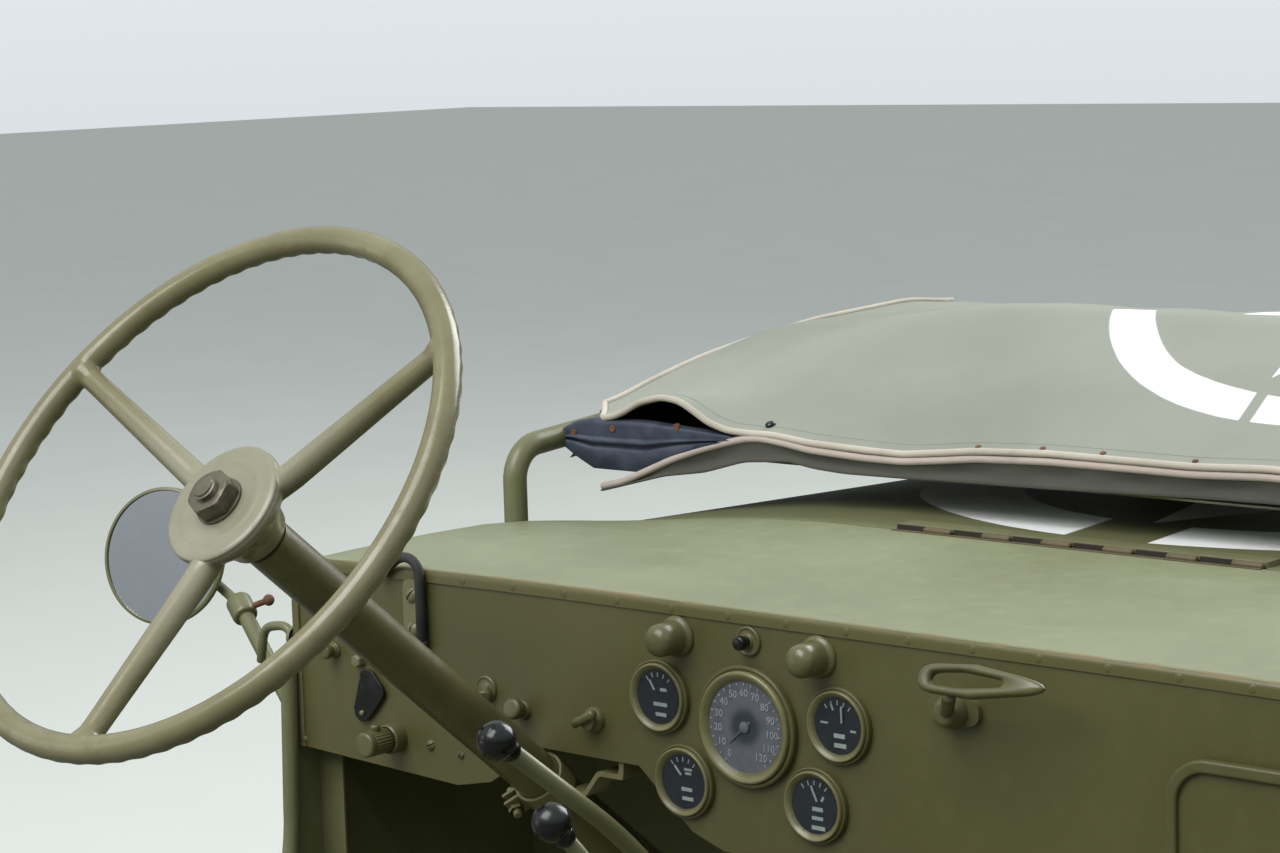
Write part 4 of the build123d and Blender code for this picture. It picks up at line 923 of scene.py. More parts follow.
@dataclass
class Cowl:
    """Top panel with its rolled hem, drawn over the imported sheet."""

    half: float = 597.0
    flat: float = 215.0
    strip: float = 10.0
    rise: float = 12.0
    crowns: tuple[float, float] = (12500.0, 1550.0)
    shoulders: tuple[float, float] = (42.0, 60.0)
    depth: float = 284.0
    seam: float = 490.0
    weld_pitch: float = 55.2
    first_weld: float = -553.6
    weld: tuple[tuple[float, float], ...] = ((3.4, -0.2), (2.6, 0.25), (1.4, 0.42), (0.0, 0.45))
    weld_drop: float = 6.8
    lip: tuple[tuple[float, float], ...] = ((0.4, 17.0), (0.4, 11.2), (-1.5, 11.0), (-1.5, 8.0))
    roll_radius: float = 5.0
    stations: tuple[float, ...] = (14.0, 21.0, 40.0, 80.0, 130.0, 190.0, 240.0, 278.0, 284.0)
    wall: float = 1.6

    def section(self, along: np.ndarray, inset: np.ndarray, steps: int = 20) -> np.ndarray:
        """Points of the arch: flat middle, crown arc, shoulder arc and upright side.

        Args:
            along: share of the way from the hem to the bonnet, one for each row.
            inset: how far the row lies inside the outer skin.
            steps: points in the crown's arc.

        Returns:
            X and Z pairs, rows by columns.
        """
        crown = self.crowns[0] + (self.crowns[1] - self.crowns[0]) * along - inset
        shoulder = self.shoulders[0] + (self.shoulders[1] - self.shoulders[0]) * along - inset
        half, top = self.half - inset, HEM + self.strip + self.rise * along - inset
        reach = half - shoulder - self.flat
        rise = np.sqrt((crown - shoulder) ** 2 - reach ** 2)
        lean = np.arctan2(reach, rise)
        centre = top - crown
        t = np.linspace(0.0, 1.0, steps)[None, :]
        crown_x = self.flat + crown[:, None] * np.sin(lean[:, None] * t)
        crown_z = centre[:, None] + crown[:, None] * np.cos(lean[:, None] * t)
        bend = lean[:, None] + (np.pi / 2 - lean[:, None]) * t[:, 1:]
        bend_x = (half - shoulder)[:, None] + shoulder[:, None] * np.sin(bend)
        bend_z = (centre + rise)[:, None] + shoulder[:, None] * np.cos(bend)
        low_z = bend_z[:, -1:] + (self.seam - bend_z[:, -1:]) * np.array([[0.5, 1.0]])
        right = np.stack([np.hstack([crown_x, bend_x, half[:, None] + 0 * low_z]),
                          np.hstack([crown_z, bend_z, low_z])], -1)
        middle = np.linspace(-1.0, 1.0, 9)[None, 1:-1] * self.flat + 0 * top[:, None]
        middle = np.stack([middle, 0 * middle + top[:, None]], -1)
        left = right[:, ::-1] * np.array([-1.0, 1.0])
        return np.concatenate([left, middle, right], axis=1)

    def height(self, x: np.ndarray, y: float) -> np.ndarray:
        """Height of the top skin at a place near the middle of the car."""
        row = self.section(np.array([y / self.depth]), np.zeros(1))[0]
        top = row[2:-2]
        return np.interp(x, top[:, 0], top[:, 1])

    def build(self, finishes: Finishes) -> None:
        """Builds the skin from hem to bonnet and the welds along the hem."""
        r, front = self.roll_radius, self.lip[-1][0]
        rows = list(self.lip)
        rows += [(front + r * (1 - math.cos(a)), r * (1 - math.sin(a)))
                 for a in np.linspace(0.0, np.pi / 2, 7)]
        rows += [(y, 0.0) for y in self.stations] + [(self.depth, 2.0)]
        rows = np.array(rows)
        along = np.clip(rows[:, 0] / self.depth, 0.0, 1.0)
        arch = self.section(along, rows[:, 1])
        seam_dip = -0.5 * np.exp(-((rows[:, 0] - 17.5) / 3.0) ** 2)
        y = np.broadcast_to(rows[:, :1], arch.shape[:2])
        points = np.stack([arch[..., 0], y, arch[..., 1] + seam_dip[:, None]], -1)
        skin = Shape().grid(points)
        # Its enamel carries painted light on the top and painted shade on the hem's face towards
        # the driver.
        piece = skin.build("cowl_skin", finishes.cowl, smooth=50.0, wall=self.wall,
                           closed=False, replaces=("scuttle_top",))
        facing_up(piece.data)
        welds = Shape()
        for x in np.arange(self.first_weld, self.half - 40, self.weld_pitch):
            z = float(self.height(np.array([x]), 0.0)[0]) - self.weld_drop
            welds.turned(self.weld, (x, front, z), REARWARD, 14)
        welds.build("hem_welds", finishes.cowl, closed=False)


def facing_up(mesh: bpy.types.Mesh) -> None:
    """Turns all faces over if most of the surface looks down."""
    if sum(face.normal.z * face.area for face in mesh.polygons) < 0:
        mesh.flip_normals()


@dataclass
class WheelLooks:
    """Three-spoke steering wheel in one skin, with its nut and the shaft's end."""

    middle: Point = (-304.0, -339.5, 712.3)
    angle: float = COLUMN_LEAN
    rim: float = 209.0
    tube: float = 10.0
    dish: float = 24.5
    spoke_start: float = 36.5
    spoke: tuple[float, float] = (10.8, 8.5)
    root: float = 28.0
    disc: float = 49.0
    finger_grips: int = 72
    grip_depth: float = 0.7
    nut: float = 16.0
    voxel: float = 1.5

    def frame(self) -> tuple[np.ndarray, np.ndarray, np.ndarray, np.ndarray]:
        """Middle of the rim, the way right, the way up the wheel and the way towards the driver."""
        a = math.radians(self.angle)
        towards = np.array([0.0, -math.cos(a), math.sin(a)])
        right = np.array([1.0, 0.0, 0.0])
        return np.array(self.middle), right, np.cross(towards, right), towards

    def down(self, s: float) -> np.ndarray:
        """Place on the axis, a distance down the column from the middle of the rim."""
        middle, _, _, towards = self.frame()
        return middle - s * towards

    def build(self, finishes: Finishes) -> None:
        """Builds rim, spokes, hub and nut."""
        self._skin(finishes)
        self._nut(finishes)

    def _skin(self, finishes: Finishes) -> None:
        """Rim, spokes and hub run together: solids joined in a fine grid and smoothed."""
        middle, right, up, towards = self.frame()
        shape = Shape()
        theta = np.linspace(0, 2 * np.pi, 361)[:, None]
        phi = np.linspace(0, 2 * np.pi, 33)[None, :-1]
        ripple = self.grip_depth * np.sin(self.finger_grips * theta) * np.clip(-np.sin(phi), 0, 1)
        reach = self.rim + (self.tube + ripple) * np.cos(phi)
        lift = (self.tube + ripple) * np.sin(phi)
        around = np.cos(theta)[..., None] * right + np.sin(theta)[..., None] * up
        shape.grid(middle + reach[..., None] * around + lift[..., None] * towards, around=True)
        for i in range(3):
            a = math.radians(self.spoke_start + 120 * i)
            out = math.cos(a) * right + math.sin(a) * up
            t = np.linspace(0.0, 1.0, 14)
            reach = self.root + (self.rim - self.root) * t
            fall = np.interp(reach, [self.root, self.disc, self.rim],
                             [self.dish + 12.4, self.dish + 10.9, 0.0])
            path = middle + reach[:, None] * out - fall[:, None] * towards
            wide = self.spoke[0] + (self.spoke[1] - self.spoke[0]) * np.clip(t * 1.15, 0, 1)
            wide = wide + 3.0 * np.clip((t - 0.93) / 0.07, 0, 1)
            shape.tube(path, wide, 24)
        r = self.disc
        bell = rounded([(0, 0.4), (r - 1, 0.4), (r - 0.5, 8), (r - 8, 17), (r - 19, 28),
                        (r - 24, 38), (r - 25.5, 46), (0, 46)], 5.0)
        shape.turned(bell, tuple(self.down(self.dish)), tuple(-towards), 72)
        piece = shape.build("wheel_skin", finishes.wheel, "steering_wheel", 60.0)
        remesh = piece.modifiers.new("join", "REMESH")
        remesh.mode, remesh.voxel_size = "VOXEL", self.voxel * MM
        smooth = piece.modifiers.new("smooth", "SMOOTH")
        smooth.factor, smooth.iterations = 0.5, 5
        settled(piece)
        piece.data.shade_smooth()
        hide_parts("steering_wheel", "wheel_hub")
        # The hub's face takes the paler hub enamel, a painted highlight.
        face = Shape().turned(rounded([(12, -0.4), (12, -1.0), (29.0, -1.0), (31.0, -1.35),
                                       (34.5, -1.35), (36.5, -0.9), (44.5, -0.8), (47.6, 0.6),
                                       (47.8, 2.0)], 1.8, 4),
                              tuple(self.down(self.dish)), tuple(-towards), 72)
        face.build("hub_face", finishes.hub, "steering_wheel", 60.0, closed=False)

    def _nut(self, finishes: Finishes) -> None:
        """Washer, chamfered nut and threaded shaft end."""
        _, right, up, towards = self.frame()
        shape = Shape()
        base = tuple(self.down(self.dish))
        shape.turned(rounded([(10, 0), (19, 0), (19, 3.2), (10, 3.2)], 0.8, 3), base,
                     tuple(towards), 48)
        angle = np.linspace(0, 2 * np.pi, 97)[:-1]
        hexagon = self.nut / np.cos((angle + np.pi / 6) % (np.pi / 3) - np.pi / 6)
        height = np.array([3.0, 3.6, 13.6, 14.6, 15.6, 16.0, 16.0])
        chamfer = np.array([17.4, 30.0, 30.0, 17.6, 16.4, 15.4, 8.0])
        radius = np.minimum(hexagon[None], chamfer[:, None])
        ring = np.cos(angle)[:, None] * right + np.sin(angle)[:, None] * up
        shape.grid(np.array(base) + radius[..., None] * ring[None]
                   + height[:, None, None] * towards, around=True)
        thread = [(9.2 + 0.45 * math.cos(2 * math.pi * z / 1.5), z)
                  for z in np.arange(14.5, 19.6, 0.3)]
        shape.turned(thread + [(8.2, 20.2), (7.6, 21.4), (5.0, 21.9), (0, 22.0)], base,
                     tuple(towards), 40)
        shape.build("hub_fastening", finishes.nut, "steering_wheel", 34.0, closed=False,
                    replaces=("hub_nut",))
        lower = Shape().turned([(0, 45), (16, 45), (16.4, 47), (15, 52), (10, 53), (10, 60)],
                               base, tuple(-towards), 36)
        lower.build("shaft_collar", finishes.column, "steering_wheel", 34.0, closed=False)


def settled(piece: bpy.types.Object) -> None:
    """Applies every modifier of a piece to its mesh."""
    graph = bpy.context.evaluated_depsgraph_get()
    graph.update()
    mesh = bpy.data.meshes.new_from_object(piece.evaluated_get(graph))
    piece.modifiers.clear()
    old = piece.data
    materials = list(old.materials)
    piece.data = mesh
    mesh.materials.clear()
    for material in materials:
        mesh.materials.append(material)
    bpy.data.meshes.remove(old)


@dataclass(frozen=True)
class Dial:
    """One round instrument: place, radius and the marks on its face."""

    x: float
    drop: float
    radius: float
    proud: float
    lip: float
    bars: tuple[tuple[float, float, float, float, float], ...] = ()
    needles: tuple[tuple[float, float, float, float], ...] = ()

    def at(self, height: float) -> Point:
        """Place on the dial's axis, a height proud of the dashboard."""
        return on_dash(self.x, self.drop, height)


class Instruments:
    """Speedometer, four gauges, lamps and the small knobs on the dashboard."""

    speedo = Dial(-95.0, 78.0, 46.8, 9.0, 12.4)
    small = (
        Dial(-181.0, 66.0, 29.0, 7.5, 8.0, ((2.0, -5.6, 13.5, 2.8, 0), (2.4, -13.4, 10.6, 2.8, 0),
                                            (5.4, 6.0, 6.5, 2.4, 0)), ((-2.8, 5.0, -7.8, 12.6),)),
        Dial(-9.0, 66.0, 29.0, 7.5, 8.0, ((1.4, -7.2, 10.0, 3.2, 0), (2.0, -14.3, 11.0, 3.2, 0),
                                          (-12.2, 1.4, 6.8, 1.4, 0), (14.0, -2.4, 5.0, 1.6, 0),
                                          (-5.0, 13.5, 5.0, 1.6, 115)), ((4.2, 2.6, 4.0, 15.0),)),
        Dial(-158.0, 128.5, 29.0, 7.5, 8.0, ((3.3, -5.6, 10.4, 2.8, 0), (4.0, -12.8, 10.8, 2.8, 0),
                                             (5.0, 9.8, 7.6, 1.8, 0), (5.0, 6.8, 6.0, 1.8, 0)),
             ((-1.4, 4.9, -7.8, 12.0),)),
        Dial(-32.0, 128.5, 29.0, 7.5, 8.0, ((2.9, -2.2, 9.8, 3.0, 0), (2.6, -9.0, 10.2, 2.6, 0),
                                            (3.3, -16.2, 12.4, 3.0, 0), (7.6, 6.0, 4.0, 2.0, 60)),
             ((2.9, 3.6, -2.4, 15.0),)),
    )
    fan = (128.0, 109.0, 90.0, 71.0, 52.0)
    lamps, lamp_drop = (-162.5, -27.5), 17.5
    lamp = ((16.0, -0.4), (16.0, 2.2), (14.4, 4.0), (12.6, 5.6), (12.8, 19.0), (12.0, 25.0),
            (7.4, 29.4), (0.01, 30.2))
    sweep = (235.0, -55.0)
    numerals, numeral_reach, numeral_size = range(0, 130, 10), 26.0, 8.0

    def build(self, finishes: Finishes) -> None:
        """Builds every instrument."""
        rings, rolls, faces, marks, large = Shape(), Shape(), Shape(), Shape(), Shape()
        for dial in (self.speedo, *self.small):
            self._ring(rings, rolls, dial)
            ledge = dial.proud - 4.0
            (large if dial is self.speedo else faces).turned(
                [(dial.radius - dial.lip + 1.0, ledge), (0, ledge)], dial.at(0), REARWARD, 48)
            self._marks(marks, dial, ledge + 0.1)
        rings.build("dial_rings", finishes.dash, smooth=50.0, closed=False,
                    replaces=("speedometer", "small_gauges"))
        rolls.build("dial_rolls", finishes.roll, smooth=50.0, closed=False)
        faces.build("dial_faces", finishes.dial, closed=False)
        large.build("speedo_face", finishes.speedo, closed=False)
        marks.build("dial_marks", finishes.figures, closed=False)
        self._speedometer(finishes)
        self._lamps(finishes)
        self._knobs(finishes)

    @staticmethod
    def _ring(flange: Shape, roll: Shape, dial: Dial) -> None:
        """Double ring: a low outer flange, a groove, and a bright roll sloping in to the dial."""
        r, glass, proud = dial.radius, dial.radius - dial.lip, dial.proud
        outer = rounded([(r - 0.2, -0.5), (r, proud * 0.40), (r * 0.985, proud * 0.62),
                         (r * 0.94, proud * 0.68), (r * 0.90, proud * 0.52)], 1.4, 4)
        inner = rounded([(r * 0.912, proud * 0.45), (r * 0.91, proud * 0.86), (r * 0.88, proud),
                         (r * 0.84, proud * 0.96), (glass + 0.3, proud - 3.4),
                         (glass, proud - 4.4)], 1.3, 4)
        flange.turned(outer, dial.at(0), REARWARD, 64)
        roll.turned(inner, dial.at(0), REARWARD, 64)
        flange.turned([(0, -40), (r - 8.0, -40), (r - 8.0, 0)], dial.at(0), REARWARD, 32)

    def _marks(self, shape: Shape, dial: Dial, height: float) -> None:
        """Bars printed on the dial, a fan of short ticks at its top, and thin needles."""
        for x, up, length, wide, angle in dial.bars:
            a = math.radians(angle)
            shape.plate([(-length / 2, -wide / 2), (length / 2, -wide / 2),
                         (length / 2, wide / 2), (-length / 2, wide / 2)],
                        on_dash(dial.x + x, dial.drop - up, height), (math.cos(a), 0, math.sin(a)),
                        (-math.sin(a), 0, math.cos(a)), -0.2, 0.25)
        if dial.needles:
            for angle in self.fan:
                bar_on_dial(shape, dial, height - 0.1, angle, 15.5, 19.0, 0.8, 0.8)
        for x0, z0, x1, z1 in dial.needles:
            line = np.array([[x0, z0], [x1, z1]]) + (dial.x, HEM - dial.drop)
            shape.tube([(x, -height - 0.8, z) for x, z in np.linspace(*line, 4)], 0.8, 8)

    def _speedometer(self, finishes: Finishes) -> None:
        """Numeral ring, ticks, needle and counter window of the large dial."""
        dial, height = self.speedo, self.speedo.proud - 3.8
        faint, white = Shape(), Shape()
        for angle in np.linspace(*self.sweep, 2 * len(self.numerals) - 1):
            bar_on_dial(faint, dial, height, float(angle), 31.5, 33.6, 0.8, 0.8)
        bar_on_dial(white, dial, height + 0.6, 222.0, -7.0, 20.0, 2.4, 0.8)
        white.turned([(4.4, height), (4.4, height + 1.2), (3.4, height + 1.8), (0, height + 1.8)],
                     dial.at(0), REARWARD, 24)
        faint.build("speedo_ticks", finishes.lilac, closed=False)
        white.build("speedo_needle", finishes.faint, closed=False)
        for value, angle in zip(self.numerals, np.linspace(*self.sweep, len(self.numerals))):
            a, out = math.radians(angle), self.numeral_reach
            text(f"speedo_{value}", str(value), self.numeral_size,
                 on_dash(dial.x + out * math.cos(a), dial.drop - out * math.sin(a), height + 0.15),
                 finishes.lilac)

    def _lamps(self, finishes: Finishes) -> None:
        """Two hooded lamps: flange, waist and dome."""
        shape, profile = Shape(), rounded(self.lamp, 4.0, 6)
        for x in self.lamps:
            shape.turned(profile, on_dash(x, self.lamp_drop), REARWARD, 40)
        shape.build("hooded_lamps", finishes.lamp, smooth=60.0, closed=False,
                    replaces=("panel_lamps",))

    @staticmethod
    def _knobs(finishes: Finishes) -> None:
        """Pull knobs: a collar on the dashboard, and a stem that runs to a round end."""
        black, plain = Shape(), Shape()
        table = (((-366.4, 0, -83.1), (-360.5, -10, -88.3), 11.0, 4.0, 5.6, plain),
                 ((-326.8, 0, -95.8), (-325.0, -17, -91.0), 8.0, 6.4, 8.4, plain),
                 ((-93.0, 0, -13.5), (-93.0, -14, -13.5), 11.5, 4.6, 5.5, black),
                 ((-544.0, 0, -72.0), (-544.0, -13, -72.0), 7.0, 4.4, 6.2, plain))
        for foot, tip, collar, stem, knob, end in table:
            foot, tip = (np.array(p, float) + (0, 0, HEM) for p in (foot, tip))
            way, length = tip - foot, float(np.linalg.norm(tip - foot))
            plain.turned(rounded([(collar, -0.3), (collar, 2.0), (collar - 1.6, 3.0),
                                  (collar - 2.2, 2.2), (stem + 1.4, 2.2), (stem + 1.0, 4.2),
                                  (0.01, 4.4)], 0.9, 3), foot, REARWARD, 36)
            end.turned(rounded([(stem, 0.5), (stem, length * 0.45), (knob, length * 0.6),
                                (knob, length * 0.92), (knob * 0.8, length), (0, length + 0.3)],
                               1.4, 4), foot, way, 32)
        plain.build("knob_collars", finishes.lamp, smooth=50.0, closed=False)
        black.build("pull_knob_set", finishes.gloss, smooth=50.0, closed=False,
                    replaces=("pull_knobs",))


def bar_on_dial(shape: Shape, dial: Dial, height: float, angle: float, start: float, end: float,
                wide: float, narrow: float) -> None:
    """Adds a thin bar that points out from a dial's middle.

    Args:
        shape: what the bar is added to.
        dial: the instrument.
        height: how far the bar's foot stands proud of the dashboard.
        angle: direction, in degrees anticlockwise from the right as the driver sees it.
        start: distance of its inner end from the middle.
        end: distance of its outer end.
        wide: width at the inner end.
        narrow: width at the outer end.
    """
    a = math.radians(angle)
    out, side = (math.cos(a), 0.0, math.sin(a)), (-math.sin(a), 0.0, math.cos(a))
    shape.plate([(start, -wide / 2), (end, -narrow / 2), (end, narrow / 2), (start, wide / 2)],
                dial.at(height), out, side, -0.35, 0.35)


def text(name: str, words: str, size: float, place: Point,
         material: bpy.types.Material) -> bpy.types.Object:
    """Flat figures that face the driver, made a mesh.

    Args:
        name: the piece's name.
        words: what it says.
        size: height of the figures, in millimetres.
        place: middle of the figures, in millimetres.
        material: its finish.

    Returns:
        The new object.
    """
    curve = bpy.data.curves.new(name, "FONT")
    curve.body, curve.size, curve.extrude = words, size * MM, 0.15 * MM
    curve.align_x, curve.align_y = "CENTER", "CENTER"
    curve.resolution_u = 3
    letters = bpy.data.objects.new(name, curve)
    bpy.context.scene.collection.objects.link(letters)
    graph = bpy.context.evaluated_depsgraph_get()
    graph.update()
    mesh = bpy.data.meshes.new_from_object(letters.evaluated_get(graph))
    bpy.data.objects.remove(letters)
    mesh.transform(Matrix.Translation(Vector(place) * MM) @ Matrix.Rotation(math.pi / 2, 4, "X"))
    return finished(placed(name, mesh, material), "scuttle", 30.0, 0.0, ())


class Controls:
    """Light switch, lever plate, ignition, catches, hand brake and the screws round them."""

    light = (-473.0, 137.0)
    ignition = (-250.0, 93.0)
    teardrop = ((-509.4, -84.3), (-519.4, -123.5), (-509.0, -129.8), (-497.6, -120.7),
                (-481.7, -102.0), (-483.8, -96.4), (-497.3, -82.9))
    teardrop_bolts = ((-512.6, 77.1, 5.6, 6), (-508.4, 120.6, 2.4, 16))
    catches = (-445.0, 566.0)
    catch_screws = (15.0, 44.0)
    bar_out, bar_radius = 6.5, 4.2
    brake = (94.0, 41.0)
    grip_x, grip_drop, grip_lean, grip_thick = 147.0, 7.0, 28.0, 9.0
    grip_outline = ((-39.0, -1.5, 10.0), (-4.0, 0.0, 12.0), (53.0, 2.4, 3.4))
    grip_hole = ((24.0, 1.3, 3.0), (-6.0, 0.0, 6.0), (-26.0, -1.3, 4.6))
    grip_slot = (-8.0, 0.0)
    clamp_place = 451.0
    strap = ((-286, -154), (-267, -154), (-252, -135), (-230, -135), (-226, -104), (-222, -104),
             (-225, -139), (-250, -139), (-265, -158), (-286, -158), (-286, -154))
    screws = ((-433.5, 138.8, 5.0, 3.0), (-398.6, 142.1, 3.6, 2.4), (-587.3, 154.6, 4.4, 2.2),
              (279.3, 101.5, 1.8, 0.9))

    def build(self, finishes: Finishes) -> None:
        """Builds every control."""
        self._light_switch(finishes)
        self._ignition(finishes)
        self._lever_plate(finishes)
        self._catches(finishes)
        self._screws(finishes)
        self._brake(finishes)
        self._clamp(finishes)

    def _light_switch(self, finishes: Finishes) -> None:
        """Stepped barrel with fine ridges round its collar and a disc at its tip."""
        x, drop = self.light
        at = on_dash(x, drop)
        collar = rounded([(0.01, -0.5), (12.5, -0.5), (12.5, 11.0), (11.0, 12.6)], 0.8, 3)
        shape = Shape().turned(collar, at, REARWARD, 40)
        angle = np.linspace(0, 2 * np.pi, 145)[:-1]
        radius = 10.2 + 0.35 * np.cos(24 * angle)
        height = np.array([12.4, 13.0, 30.5, 31.5])
        size = np.array([0.96, 1.0, 1.0, 0.95])
        ring = np.stack([np.cos(angle), 0 * angle, np.sin(angle)], -1)
        shape.grid(np.array(at) + (size[:, None] * radius)[..., None] * ring
                   + height[:, None, None] * np.array(REARWARD), around=True)
        shape.turned(rounded([(9.7, 31.4), (10.4, 33.0), (10.4, 37.0), (8.6, 38.0), (0, 38.0)],
                             0.8, 3), at, REARWARD, 40)
        shape.tube([on_dash(x, drop - n, 24.0) for n in (8, 13, 15)], 4.0, 16)
        shape.build("light_switch_barrel", finishes.lamp, smooth=45.0, closed=False,
                    replaces=("light_switch",))

    def _ignition(self, finishes: Finishes) -> None:
        """Round boss with a short turning lever across it."""
        x, drop = self.ignition
        shape = Shape().turned(rounded([(10, -0.4), (10, 3.0), (7.6, 6.0), (7, 11), (0, 11)],
                                       1.2, 4), on_dash(x, drop), REARWARD, 36)
        path = [on_dash(x + 11.3 * s, drop - 3.0 - 5.8 * s, 13.0) for s in (-1.0, -0.3, 0.3, 1.0)]
        shape.tube(path, np.array([4.2, 3.4, 3.4, 3.8]), 16)
        shape.build("ignition_lever", finishes.lamp, smooth=50.0, closed=False,
                    replaces=("ignition_switch",))

    def _lever_plate(self, finishes: Finishes) -> None:
        """Hanging teardrop plate, narrow at its pivot, with a hole near its wide end."""
        corners = np.array((*self.teardrop, self.teardrop[0])) + (0.0, HEM)
        start = (corners[:1] + corners[1:2]) / 2
        outline = rounded(np.vstack([start, corners[1:], start]), 5.0, 4)[:-1]
        plate = Shape().plate(outline[::-1], (0, 0, 0), RIGHT, UP, 2.0, 4.5)
        plate.build("teardrop_lever", finishes.gloss, smooth=40.0, bevel=0.5, closed=True,
                    replaces=("lever_plate",))
        worn = np.linspace(corners[0] - (0.3, 6.0), corners[1] + (0.4, 5.0), 6)
        rim = np.stack([worn[:, 0], np.full(6, -4.3), worn[:, 1]], -1)
        Shape().tube(rim, 0.9, 8).build("teardrop_rim", finishes.nut)
        bolts = Shape()
        for x, drop, radius, sides in self.teardrop_bolts:
            bolts.turned([(radius, 0.0), (radius, 6.0), (radius - 0.9, 7.0), (0, 7.4)],
                         on_dash(x, drop), REARWARD, sides)
        bolts.build("teardrop_bolts", finishes.olive, smooth=30.0, bevel=0.3, closed=False)

    def _catches(self, finishes: Finishes) -> None:
        """Plate with two slotted screws, and the bent bar that hooks over the hem."""
        for side, x in zip(("left", "right"), self.catches):
            plate = Shape().plate(oblong(10, 28, 0.35, 40), on_dash(x, 30.0), RIGHT, UP, 0.0, 4.5)
            for drop in self.catch_screws:
                slotted_screw(plate, on_dash(x, drop, 4.5), 6.6, 3.0, 35.0 + drop)
            plate.build(f"catch_plate_{side}", finishes.olive, smooth=40.0, bevel=0.5,
                        closed=False)
            path = [on_dash(x + dx, drop, self.bar_out)
                    for dx, drop in ((12.5, 57), (12.5, -12), (-6, -19), (-28, -4), (-34, 3))]
            bar = Shape().tube(rounded(path, 13.0, 7), self.bar_radius, 14)
            bar.turned(rounded([(2, 0), (5.2, 0), (5.2, 7), (2, 7)], 1.0, 3),
                       on_dash(x + 12.5, 58.0, self.bar_out), UP, 20)
            bar.build(f"catch_bar_{side}", finishes.boot, smooth=50.0, closed=False,
                      replaces=("windscreen_catches",) if side == "left" else ())

    def _brake(self, finishes: Finishes) -> None:
        """Hand brake pull: plate, guide, rod and a looped grip with a pointed end."""
        x, drop = self.brake
        shape = Shape().plate(oblong(22, 11, 0.7, 60), on_dash(x, drop), RIGHT, UP, 0.0, 5.0)
        shape.turned(rounded([(13, 4), (13, 7), (11, 13), (8, 18), (0, 18)], 2.0, 4),
                     on_dash(x, drop), REARWARD, 36)
        middle = np.array(on_dash(self.grip_x, self.grip_drop, 48.0))
        stem = np.linspace(on_dash(x, drop, 12.0), middle + (-22.0, -3.4, -10.7), 6)
        shape.tube(stem, 5.0, 18)
        a = math.radians(self.grip_lean)
        out = np.array([0.0, -math.cos(a), math.sin(a)])
        rise = np.array([0.0, math.sin(a), math.cos(a)])
        theta = np.linspace(0, 2 * np.pi, 145)[:-1]
        outside = hull_reach(theta, self.grip_outline, self.grip_slot)
        for _ in range(3):
            outside = (np.roll(outside, 1) + 2 * outside + np.roll(outside, -1)) / 4
        inside = hull_reach(theta, self.grip_hole, (0.0, 0.0))
        swell, thick = oblong(1, 1, 0.8, 24).T
        reach = (outside + inside)[:, None] / 2 + (outside - inside)[:, None] / 2 * swell
        across = self.grip_slot[0] + reach * np.cos(theta)[:, None]
        along = self.grip_slot[1] + reach * np.sin(theta)[:, None]
        loop = (middle + across[..., None] * np.array([1.0, 0, 0]) + along[..., None] * rise
                + (self.grip_thick / 2 * thick)[None, :, None] * out)
        shape.grid(np.concatenate([loop, loop[:1]]), around=True)
        shape.build("handbrake_pull", finishes.lamp, smooth=60.0,
                    replaces=("handbrake_handle",))

    def _clamp(self, finishes: Finishes) -> None:
        """Clamp round the steering column with its bolt, and the bent strap that holds it."""
        wheel = WheelLooks()
        _, right, up, towards = wheel.frame()
        low = wheel.down(self.clamp_place)
        shape = Shape().turned([(19.3, 0), (22, 0), (22, 21), (19.3, 21), (19.3, 0)], tuple(low),
                               tuple(towards), 48)
        out = -(right + up) / math.sqrt(2)
        for side in (-1, 1):
            near, far = sorted((side * 2.5, side * 5.5))
            shape.plate([(20, 1), (35, 1), (35, 20), (20, 20)], tuple(low), tuple(out),
                        tuple(towards), near, far)
        across = np.cross(out, towards)
        bolt = low + 30.0 * out + 10.5 * towards
        shape.tube([bolt + n * across for n in (-15, -5, 5, 15)], 3.6, 16)
        shape.turned([(6.4, -10), (6.4, -5.6), (0.01, -5.6)], tuple(bolt), tuple(across), 6)
        shape.plate(rounded(self.strap, 3.0, 3)[:-1] + np.array([0, HEM]), (0, 0, 0), (1, 0, 0),
                    (0, 0, 1), -26.0, -2.2)
        shape.build("column_clamp", finishes.roll, smooth=40.0, bevel=0.5,
                    replaces=("column_bracket",))

    def _screws(self, finishes: Finishes) -> None:
        """Domed slotted screws on the dashboard's face."""
        shape = Shape()
        for i, (x, drop, radius, height) in enumerate(self.screws):
            slotted_screw(shape, on_dash(x, drop), radius, height, 20.0 + 47 * i)
        shape.build("dash_screws", finishes.dash, smooth=40.0, closed=False)


def hull_reach(theta: np.ndarray, circles: Sequence[Sequence[float]],
               centre: tuple[float, float]) -> np.ndarray:
    """Distance from a centre to the outline that wraps several circles.

    For every direction the outline lies on the nearest of the lines that touch the circles:
    the least of support over the cosine between the line's normal and the direction.

    Args:
        theta: directions, in radians.
        circles: places and radii.
        centre: where the distances start, inside the outline.

    Returns:
        One distance for each direction.
    """
    normal = np.linspace(0, 2 * np.pi, 721)[:-1]
    way = np.stack([np.cos(normal), np.sin(normal)], -1)
    support = np.max([way @ (np.array(c[:2]) - centre) + c[2] for c in circles], axis=0)
    facing = np.cos(theta[:, None] - normal[None])
    return np.where(facing > 0.02, support[None] / np.maximum(facing, 0.02), np.inf).min(axis=1)


